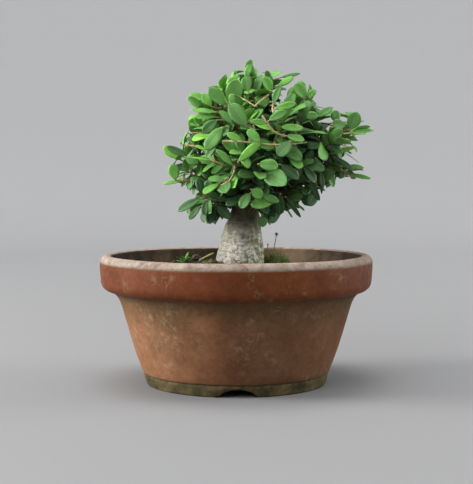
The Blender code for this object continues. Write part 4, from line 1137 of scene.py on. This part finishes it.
def build_clods():
    """The three loose lumps of the CAD model, as rough broken clods."""
    points, faces = ball_mesh(4)
    for k in (1, 2, 3):
        low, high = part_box(f"soil_clod_{k}")
        centre = [(a + b) / 2 / MM for a, b in zip(low, high)]
        span = [(b - a) / MM for a, b in zip(low, high)]
        shaped = []
        for p in points:
            dent = 1 + 0.35 * noise.noise(p * 1.6 + Vector((7.0 * k, 0, 0)))
            dent += 0.10 * noise.noise(p * 5.0 + Vector((3.0 * k, 1, 0)))
            shaped.append(tuple(c + q * dent * s * 0.5 for c, q, s in zip(centre, p, span)))
        skin = Skin("tone")
        skin.add(shaped, faces, tone=0.9 - 0.3 * k / 3)
        make_piece(f"broken_clod_{k}", skin, [soil_material()], "soil", f"soil_clod_{k}")


# ------------------------------------------------------------------ trunk


def rounded_trunk():
    """The CAD model's trunk and limbs as one object of small even faces, with its edges rounded."""
    source = bmesh.new()
    source.from_mesh(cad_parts["trunk"].data)
    bmesh.ops.remove_doubles(source, verts=source.verts, dist=1e-6)
    mesh = bpy.data.meshes.new("trunk_and_limbs")
    source.to_mesh(mesh)
    source.free()
    obj = add_object("trunk_and_limbs", mesh)
    voxels = obj.modifiers.new("voxels", "REMESH")
    voxels.mode = "VOXEL"
    voxels.voxel_size = BARK_VOXEL * MM
    obj.modifiers.new("rounding", "SMOOTH").iterations = BARK_SMOOTHING
    shaped = obj.evaluated_get(bpy.context.evaluated_depsgraph_get())
    rounded = bpy.data.meshes.new_from_object(shaped)
    obj.modifiers.clear()
    obj.data = rounded
    return obj


def build_trunk():
    """The rounded trunk with rings, bumps and folds in the bark, and finer relief on the limbs."""
    obj = rounded_trunk()
    mesh = obj.data
    spine = catmull_rom(TRUNK, 4)
    on_limb = []
    moves = []
    for vertex in mesh.vertices:
        p = vertex.co / MM
        x, y, _, radius = min(spine, key=lambda s: abs(s[2] - p.z))
        away = math.hypot(p.x - x, p.y - y)
        limb = max(smooth_step(1.25, 1.7, away / radius), smooth_step(100, 112, p.z))
        on_limb.append(limb)
        swirl = p.z + 1.6 * rough(p, 12, 3.0)
        folds = rough((p.x * 0.25, p.y * 0.25, swirl), 1.5, 6.0)
        ringed = math.exp(-((p.z - 80) / 6.5) ** 2) + 0.35
        bark = 0.34 * folds * ringed + 0.45 * rough(p, 8.5) + 0.20 * rough(p, 2.4, 8.0)
        move = (1 - limb) * bark
        move += 0.10 * rough(p, 1.4, 2.0) + limb * 0.16 * rough(p, 3.0, 5.0)
        moves.append(vertex.normal * move * MM)
    for vertex, move in zip(mesh.vertices, moves):
        vertex.co += move
    mesh.attributes.new("on_limb", "FLOAT", "POINT").data.foreach_set("value", on_limb)
    mesh.materials.clear()
    mesh.materials.append(bark_material())
    mesh.shade_smooth()
    show(obj, "bark", "trunk")


# ------------------------------------------------------------------ leaves and shoots


def blade_points(leaf, rng):
    """A curved blade's upper and lower face as one closed skin: points, faces and named values."""
    fold = rng.uniform(0.10, 0.34)
    curl = rng.uniform(-0.16, 0.20)
    wave = rng.uniform(0.0, 0.05)
    phase = rng.uniform(0, math.tau)
    twist = rng.uniform(-0.35, 0.35)
    index, points = {}, []
    values = {"along": [], "across": [], "under": []}
    for face in (1, -1):
        for i in range(BLADE_ROWS + 1):
            t = 0.02 + 0.98 * (i / BLADE_ROWS)
            half = max(leaf.half_width(t), 0.24 if t < 0.5 else 0.10)
            angle = twist * t
            side = leaf.side * math.cos(angle) + leaf.face * math.sin(angle)
            face_up = leaf.face * math.cos(angle) - leaf.side * math.sin(angle)
            for j in range(BLADE_COLUMNS + 1):
                s = 2 * j / BLADE_COLUMNS - 1
                rim = j in (0, BLADE_COLUMNS) or i in (0, BLADE_ROWS)
                if rim and face < 0:
                    index[face, i, j] = index[1, i, j]
                    continue
                rise = half * (fold * abs(s) - curl * s * s)
                rise += leaf.width * wave * math.sin(9 * t + phase) * s
                if not rim:
                    rise += BLADE_HALF_THICKNESS * (1.25 - abs(s)) * face
                index[face, i, j] = len(points)
                points.append(tuple(leaf.midrib(t) + side * half * s + face_up * rise))
                values["along"].append(t)
                values["across"].append(s)
                values["under"].append(0.0 if face > 0 else 1.0)
    faces = []
    for face in (1, -1):
        for i in range(BLADE_ROWS):
            for j in range(BLADE_COLUMNS):
                corners = (i, j), (i, j + 1), (i + 1, j + 1), (i + 1, j)
                faces.append([index[face, row, column] for row, column in corners][::face])
    return points, faces, values


def add_leaf(skin, leaf, stem, tone, rng):
    """A blade and the short stalk that joins it to its twig."""
    points, faces, values = blade_points(leaf, rng)
    skin.add(points, faces, tone=tone, **values)
    foot = leaf.midrib(0.06)
    bend = stem.lerp(foot, 0.6) + leaf.face * 0.12
    skin.add(*tube([stem, bend, foot], [0.42, 0.34, 0.24], 6), look=1, tone=tone)


def add_twig(skin, path, thick, thin, tone):
    """A round twig, a little swollen where its leaves grow."""
    last = len(path) - 1
    radii = []
    for k in range(last + 1):
        swell = 1.12 if k % 2 else 0.95
        radii.append((thick + (thin - thick) * k / last) * swell)
    skin.add(*tube(path, radii, TWIG_SIDES), look=1, tone=tone)


def leaf_tone(leaf, rng, fresh):
    """A leaf's tone: older and darker low down and inside, fresh green above and outside,
    with painted shade deeper inside the crown and painted light on its left.
    """
    middle = leaf.midrib(0.5)
    high = smooth_step(100.0, 150.0, middle.z)
    # Younger leaves outside, and painted shade deeper in
    outer = smooth_step(18.0, 52.0, (middle - CROWN_AXIS).length)
    # Painted light on the crown's left, where the key light falls
    lit_left = smooth_step(-45.0, 25.0, -middle.x) * smooth_step(98.0, 120.0, middle.z)
    age_and_light = 0.20 * high + 0.34 * outer + 0.36 * lit_left - 0.14
    return min(0.85, max(0.0, age_and_light + fresh + rng.gauss(0.0, 0.17)))


def leaf_body(leaf, grow=0.0):
    """A leaf without the start of its stalk, as a closed shape for tests."""
    corners = ((1, 0), (0, 1), (-1, 0), (0, -1))
    quad = [leaf.base + leaf.side * 0.4 * a + leaf.face * 0.4 * b for a, b in corners]
    return leaf.polygons(quad, grow, 0.15)


def small_leaf(root, axis, outward, tip, space, own, rng, scale):
    """A leaf for the detailed model only, in the room that is left, or None."""
    for attempt in range(SMALL_LEAF_TRIES):
        leaf = leaf_at(root, axis, outward, rng.uniform(0.2, 1.0), tip, rng, attempt)
        leaf.length *= scale
        leaf.width *= scale
        if leaf.is_inside() and space.is_free(*leaf_body(leaf, 0.12), without=own):
            space.add(*leaf_body(leaf))
            return leaf
    return None


def side_twig(start, heading, length, space, own, rng):
    """A short bowed twig from a point on another, or None if there is no room."""
    for attempt in range(SIDE_TWIG_TRIES):
        wander = random_vector(rng)
        way = (heading + wander * (0.25 + 0.1 * attempt)).normalized()
        end = start + way * length + UP * length * 0.12
        path = bowed_path(start, start + way * length * 0.5 + wander * 0.8, end, 4)
        skin = rings_as_polygons(tube_rings(path[1:], [0.7] * 4, 4))
        if space.is_free(*skin, without=own):
            return path
    return None


def dress_twig(path, tip, space, own, rng, scale):
    """Crossed pairs of small leaves along a short twig, and one at its end."""
    frames = cross_frames(path)
    directions = tangents(path)
    leaves = []
    for k in range(len(path) - 1, 0, -1):
        across, other = frames[k]
        outwards = [directions[k]] if k == len(path) - 1 else []
        outwards += [across, -across] if k % 2 else [other, -other]
        for outward in outwards:
            leaf = small_leaf(path[k], directions[k], outward, tip, space, own, rng, scale)
            if leaf:
                leaves.append((leaf, path[k]))
    return leaves


def build_shoot(number, path, leaves, space, own, rng, looks):
    """One detailed shoot: its twig, the CAD model's leaves, and smaller ones on side twigs."""
    skin = Skin(*LEAF_VALUES)
    frames = cross_frames(path)
    directions = tangents(path)
    tip = path[-1]
    last = len(path) - 1
    young = rng.uniform(-0.08, 0.14)
    back = path[0] - (path[1] - path[0]).normalized() * 2.4
    add_twig(skin, [back, *path], 0.85, 0.45, rng.uniform(0.2, 0.8))
    for (segment, _), leaf in leaves.items():
        stem = tip if segment == last else (path[segment] + path[segment + 1]) / 2
        fresh = young + (0.12 if segment >= last - 1 else 0.0)
        add_leaf(skin, leaf, stem, leaf_tone(leaf, rng, fresh), rng)
    for k in range(1, last, 2):
        across, other = frames[k]
        for outward in (across, -across, other, -other):
            leaf = small_leaf(path[k], directions[k], outward, tip, space, own, rng,
                              TWIG_LEAF_SCALE)
            if leaf:
                add_leaf(skin, leaf, path[k], leaf_tone(leaf, rng, young), rng)
        heading = (across * rng.uniform(-1, 1) + other * rng.uniform(-1, 1)).normalized()
        heading = heading + directions[k] * 0.5
        branch = side_twig(path[k], heading, rng.uniform(5.0, 8.0), space, own, rng)
        if branch:
            add_twig(skin, branch, *SIDE_TWIG, rng.random())
            dressed = dress_twig(branch[1:], branch[-1], space, own, rng, SIDE_LEAF_SCALE)
            for leaf, stem in dressed:
                add_leaf(skin, leaf, stem, leaf_tone(leaf, rng, young), rng)
    make_piece(f"shoot_{number:02d}", skin, looks, "leaf", f"leafy_shoot_{number:02d}")


def build_limb_leaves(number, points, radii, space, rng, looks):
    """Short leafy twigs straight off a limb, which fill the inside of the crown."""
    skin = Skin(*LEAF_VALUES)
    stations = list(zip(points, radii, cross_frames(points), tangents(points)))
    for point, radius, (across, other), along in stations[2:]:
        for _ in range(3):
            turn = rng.uniform(0, math.tau)
            if radius > THICKEST_LEAFY_LIMB:
                continue
            outward = across * math.cos(turn) + other * math.sin(turn)
            start = point + outward * radius * 0.6
            clear = start + outward * (radius * 0.5 + 0.6)
            heading = outward + along * 0.35
            branch = side_twig(clear, heading, rng.uniform(4.5, 8.5), space, None, rng)
            if not branch:
                continue
            leaves = dress_twig(branch[1:], branch[-1], space, None, rng, LIMB_LEAF_SCALE)
            if leaves:
                add_twig(skin, [start, *branch], *SIDE_TWIG, rng.random())
            for leaf, stem in leaves:
                add_leaf(skin, leaf, stem, leaf_tone(leaf, rng, LIMB_LEAF_TONE), rng)
    if skin.points:
        make_piece(f"limb_leaves_{number:02d}", skin, looks, "leaf")


def face_leaves(rng):
    """The listed leaves, each turned towards the front and the sky, with how young it is."""
    leaves = []
    for x, z, tip_x, tip_z, depth, width, tone in FACE_LEAVES:
        base = Vector((x, depth, z))
        reach = Vector((tip_x - x, rng.uniform(-3.0, 1.0), tip_z - z))
        face = Vector((rng.uniform(-0.35, 0.35), -1.0, rng.uniform(0.1, 0.7)))
        leaves.append((Leaf(base, reach, face, reach.length, width, rng.uniform(0.04, 0.16)), tone))
    return leaves


def build_face_leaves(leaves, looks, rng):
    """The listed leaves, each on a short twig out of the crown."""
    skin = Skin(*LEAF_VALUES)
    for leaf, tone in leaves:
        inwards = (Vector((CROWN_AXIS.x, 10.0, leaf.base.z - 3.0)) - leaf.base).normalized()
        start = leaf.base + inwards * 9.0
        twig = bowed_path(start, start.lerp(leaf.base, 0.6) - leaf.along * 1.2, leaf.base, 5)
        add_twig(skin, twig, *FACE_TWIG, rng.uniform(0.2, 0.9))
        add_leaf(skin, leaf, leaf.base, max(0.0, tone - 0.04), rng)
    make_piece("face_leaves", skin, looks, "leaf")


def build_face_twigs(looks, rng):
    """The pale bare twigs in front, with a bud at every third point."""
    skin = Skin(*LEAF_VALUES)
    for route in FACE_TWIGS:
        path = [Vector(p) for p in catmull_rom(route, 5)]
        add_twig(skin, path, *FACE_TWIG, rng.uniform(0.3, 0.8))
        directions = tangents(path)
        for k, (across, other) in list(enumerate(cross_frames(path)))[1::3]:
            turn = GOLDEN_TURN * k
            bud = across * math.cos(turn) + other * math.sin(turn) + directions[k] * 0.8
            line = [path[k], path[k] + bud * 0.6, path[k] + bud * 1.15]
            skin.add(*tube(line, [0.44, 0.38, 0.12], 6), look=1, tone=0.4)
    make_piece("face_twigs", skin, looks, "leaf")


def build_crown():
    """The crown's pieces. The listed leaves claim their room before any other leaf is shown."""
    shoots, space, wood = grow_crown()
    rng = random.Random(DETAIL_SEED)
    green = leaf_material("leaf", LEAF_HUES)
    twig = plain_plant_material("twig", (0.14, 0.095, 0.045), (0.44, 0.36, 0.15), 2.2, 0.6)
    looks = [green, twig]
    face = face_leaves(rng)
    taken = Space()
    for leaf, _ in face:
        taken.add(*leaf_body(leaf))
        space.add(*leaf_body(leaf))
    for number, (path, leaves, own) in enumerate(shoots, start=1):
        kept = {site: leaf for site, leaf in leaves.items() if taken.is_free(*leaf_body(leaf, 0.2))}
        build_shoot(number, path, kept, space, own, rng, looks)
    for number, (points, radii) in enumerate(wood, start=1):
        build_limb_leaves(number, points, radii, space, rng, looks)
    build_face_leaves(face, looks, rng)
    build_face_twigs(looks, rng)


# ------------------------------------------------------------------ on the soil


def build_moss(name, node, centre, radius, count, tallest, seed, look):
    """A tuft of moss: a low cushion with many fine pointed shoots that lean outwards."""
    rng = random.Random(seed)
    skin = Skin("tone")
    ball = ball_mesh(1)
    for _ in range(count):
        reach = radius * math.sqrt(rng.random())
        angle = rng.uniform(0, math.tau)
        x, y = centre[0] + reach * math.cos(angle), centre[1] + reach * math.sin(angle)
        edge = 1 - (reach / radius) ** 2
        low = ground(x, y)
        size = rng.uniform(0.5, 1.3)
        lump = crumb(ball, (x, y, low + 0.25 + edge * tallest * 0.18), size, rng)
        skin.add(*lump, tone=rng.random())
        height = tallest * (0.25 + 0.75 * edge) * rng.uniform(0.2, 1.0) ** 1.5
        lean = Vector((math.cos(angle), math.sin(angle), 0)) * rng.uniform(-0.1, 0.45) * height
        foot = Vector((x, y, low))
        points = [foot, foot + UP * height * 0.55 + lean * 0.3, foot + UP * height + lean]
        skin.add(*tube(points, [0.19, 0.15, 0.04], 3), tone=rng.random())
    make_piece(name, skin, [look], "moss", node)


def build_spore_stalk(name, node, foot, bud, capsule, look):
    """A thin bowed stalk with a spore capsule on its end."""
    foot, bud = Vector(foot), Vector(bud)
    middle = foot.lerp(bud, 0.5) + Vector((-0.7, 0, 0))
    line = [Vector(p) for p in catmull_rom((tuple(foot), tuple(middle), tuple(bud)), 8)]
    skin = Skin("tone")
    skin.add(*tube(line, [0.22] * len(line), 8), tone=0.3)
    axis = (line[-1] - line[-2]).normalized()
    points, radii = [], []
    for k in range(CAPSULE_STEPS + 1):
        angle = math.pi * k / CAPSULE_STEPS
        points.append(bud + axis * capsule * (0.9 - math.cos(angle)))
        radii.append(max(0.05, capsule * math.sin(angle) ** 0.8))
    skin.add(*tube(points, radii, CAPSULE_STEPS), tone=0.9)
    make_piece(name, skin, [look], "dry_stem", node)


def build_seedling(look, stem_look):
    """A little weed with narrow leaves in a loose rosette."""
    rng = random.Random(SEEDLING_SEED)
    x, y = SEEDLING_PLACE
    foot = Vector((x, y, ground(x, y) - 0.5))
    skin = Skin(*LEAF_VALUES)
    stem = [foot + UP * 0.7 * k for k in range(6)]
    add_twig(skin, stem, 0.5, 0.3, 0.5)
    for k in range(SEEDLING_LEAVES):
        angle = GOLDEN_TURN * k
        rise = 0.25 + 0.085 * k + rng.uniform(-0.1, 0.1)
        along = Vector((math.cos(angle), math.sin(angle), rise))
        start = stem[2 + k % 4]
        leaf = Leaf(start, along, UP - along * 0.3, rng.uniform(4.8, 7.4), rng.uniform(1.2, 1.7), 0.16)
        add_leaf(skin, leaf, start, rng.uniform(0.45, 0.95), rng)
    make_piece("weed_seedling", skin, [look, stem_look], "weed", "seedling")


def build_fallen_stalk(look):
    """A pale dry stalk with swollen joints, which leans on the foot of the trunk."""
    curve = catmull_rom(FALLEN_STALK, 10)
    points = [Vector(p[:3]) for p in curve]
    radii = [p[3] * (1.22 if k in FALLEN_STALK_JOINTS else 1.0) for k, p in enumerate(curve)]
    skin = Skin("tone")
    skin.add(*tube(points, radii, 12), tone=1.0)
    make_piece("dry_stalk", skin, [look], "dry_stem", "fallen_stalk")


def build_small_plants():
    moss = plain_plant_material("moss", (0.034, 0.038, 0.013), (0.18, 0.24, 0.045), 2.0, 0.9)
    stem = plain_plant_material("dry_stem", (0.09, 0.08, 0.03), (0.34, 0.33, 0.13), 1.4, 0.7)
    brown = plain_plant_material("moss_stalk", (0.055, 0.042, 0.020), (0.20, 0.19, 0.07), 0.8, 0.7)
    weed = leaf_material("weed", WEED_HUES)
    for tuft in MOSS_TUFTS:
        build_moss(*tuft, moss)
    for stalk in SPORE_STALKS:
        build_spore_stalk(*stalk, brown)
    build_seedling(weed, stem)
    build_fallen_stalk(stem)


# ------------------------------------------------------------------ studio


def build_studio():
    """A pale floor that curves up all round into a wall."""
    outline = [(radius, 0.0) for radius in FLOOR_RADII]
    outline += arc((FLOOR_RADII[-1], COVE_RADIUS), COVE_RADIUS, -90, 0, 14)
    outline.append((FLOOR_RADII[-1] + COVE_RADIUS, WALL_TOP))
    points = [(x * MM, y * MM, z * MM) for r, z in outline for x, y in circle(r, STUDIO_SIDES)]
    quads = ring_quads(len(outline), STUDIO_SIDES)
    faces = [(a, d, c, b) for a, b, c, d in quads]  # turned to face up and inwards
    faces.append(tuple(range(STUDIO_SIDES)))
    mesh = bpy.data.meshes.new("studio_floor")
    mesh.from_pydata(points, [], faces)
    mesh.shade_smooth()
    shade = Shade("pale_floor", 0.9)
    wall = shade.mix(shade.band(shade.axis("Z"), *WALL_FADE), WALL_COLOUR, HIGH_WALL_COLOUR)
    squares = [shade.times(side, side) for side in (shade.axis("X"), shade.axis("Y"))]
    away = shade.band(shade.maths("SQRT", shade.plus(*squares)), *FLOOR_FADE)
    mesh.materials.append(shade.finish(shade.mix(away, FLOOR_COLOUR, wall)))
    add_object("studio_floor", mesh)


def add_light(name, place, size, watts, spread, colour):
    """A round soft light that faces the tree."""
    light = bpy.data.lights.new(name, "AREA")
    light.shape = "DISK"
    light.size = size * MM
    light.energy = watts
    light.color = colour
    light.spread = math.radians(spread)
    obj = add_object(name, light)
    obj.location = Vector(place) * MM
    obj.rotation_euler = (Vector(place) - LIGHT_AIM).to_track_quat("Z", "Y").to_euler()
    obj.visible_camera = False


def light_and_camera():
    world = bpy.data.worlds.new("studio_air")
    bpy.context.scene.world = world
    world.use_nodes = True
    background = world.node_tree.nodes["Background"]
    background.inputs["Color"].default_value = AIR_COLOUR
    background.inputs["Strength"].default_value = AIR_STRENGTH
    for light in LIGHTS:
        add_light(*light)
    camera = bpy.data.cameras.new("camera")
    camera.lens = CAMERA_LENS
    camera.sensor_width = SENSOR_WIDTH
    camera.clip_start = 0.01
    obj = add_object("camera", camera)
    obj.location = Vector(CAMERA_PLACE) * MM
    obj.rotation_euler = (math.radians(90 - CAMERA_PITCH), 0.0, 0.0)
    bpy.context.scene.camera = obj
    bpy.context.scene.view_settings.view_transform = "Standard"


def dress_fittings():
    """The drain screen and its staple keep their CAD shapes and get their materials."""
    plastic = fitting_material("plastic_mesh", 0.0, 2.5, (0.012, 0.022, 0.014), (0.10, 0.085, 0.06),
                               0.08, 0.42, 0.8)
    wire = fitting_material("wire", 1.0, 1.6, (0.50, 0.47, 0.44), (0.30, 0.29, 0.28), 0.05, 0.32, 0.6)
    for node, look in (("drain_screen", plastic), ("screen_staple", wire)):
        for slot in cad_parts[node].material_slots:
            slot.material = look


def main():
    build_pot()
    build_soil()
    build_crumbs()
    build_clods()
    build_trunk()
    build_crown()
    build_small_plants()
    dress_fittings()
    build_studio()
    light_and_camera()


main()
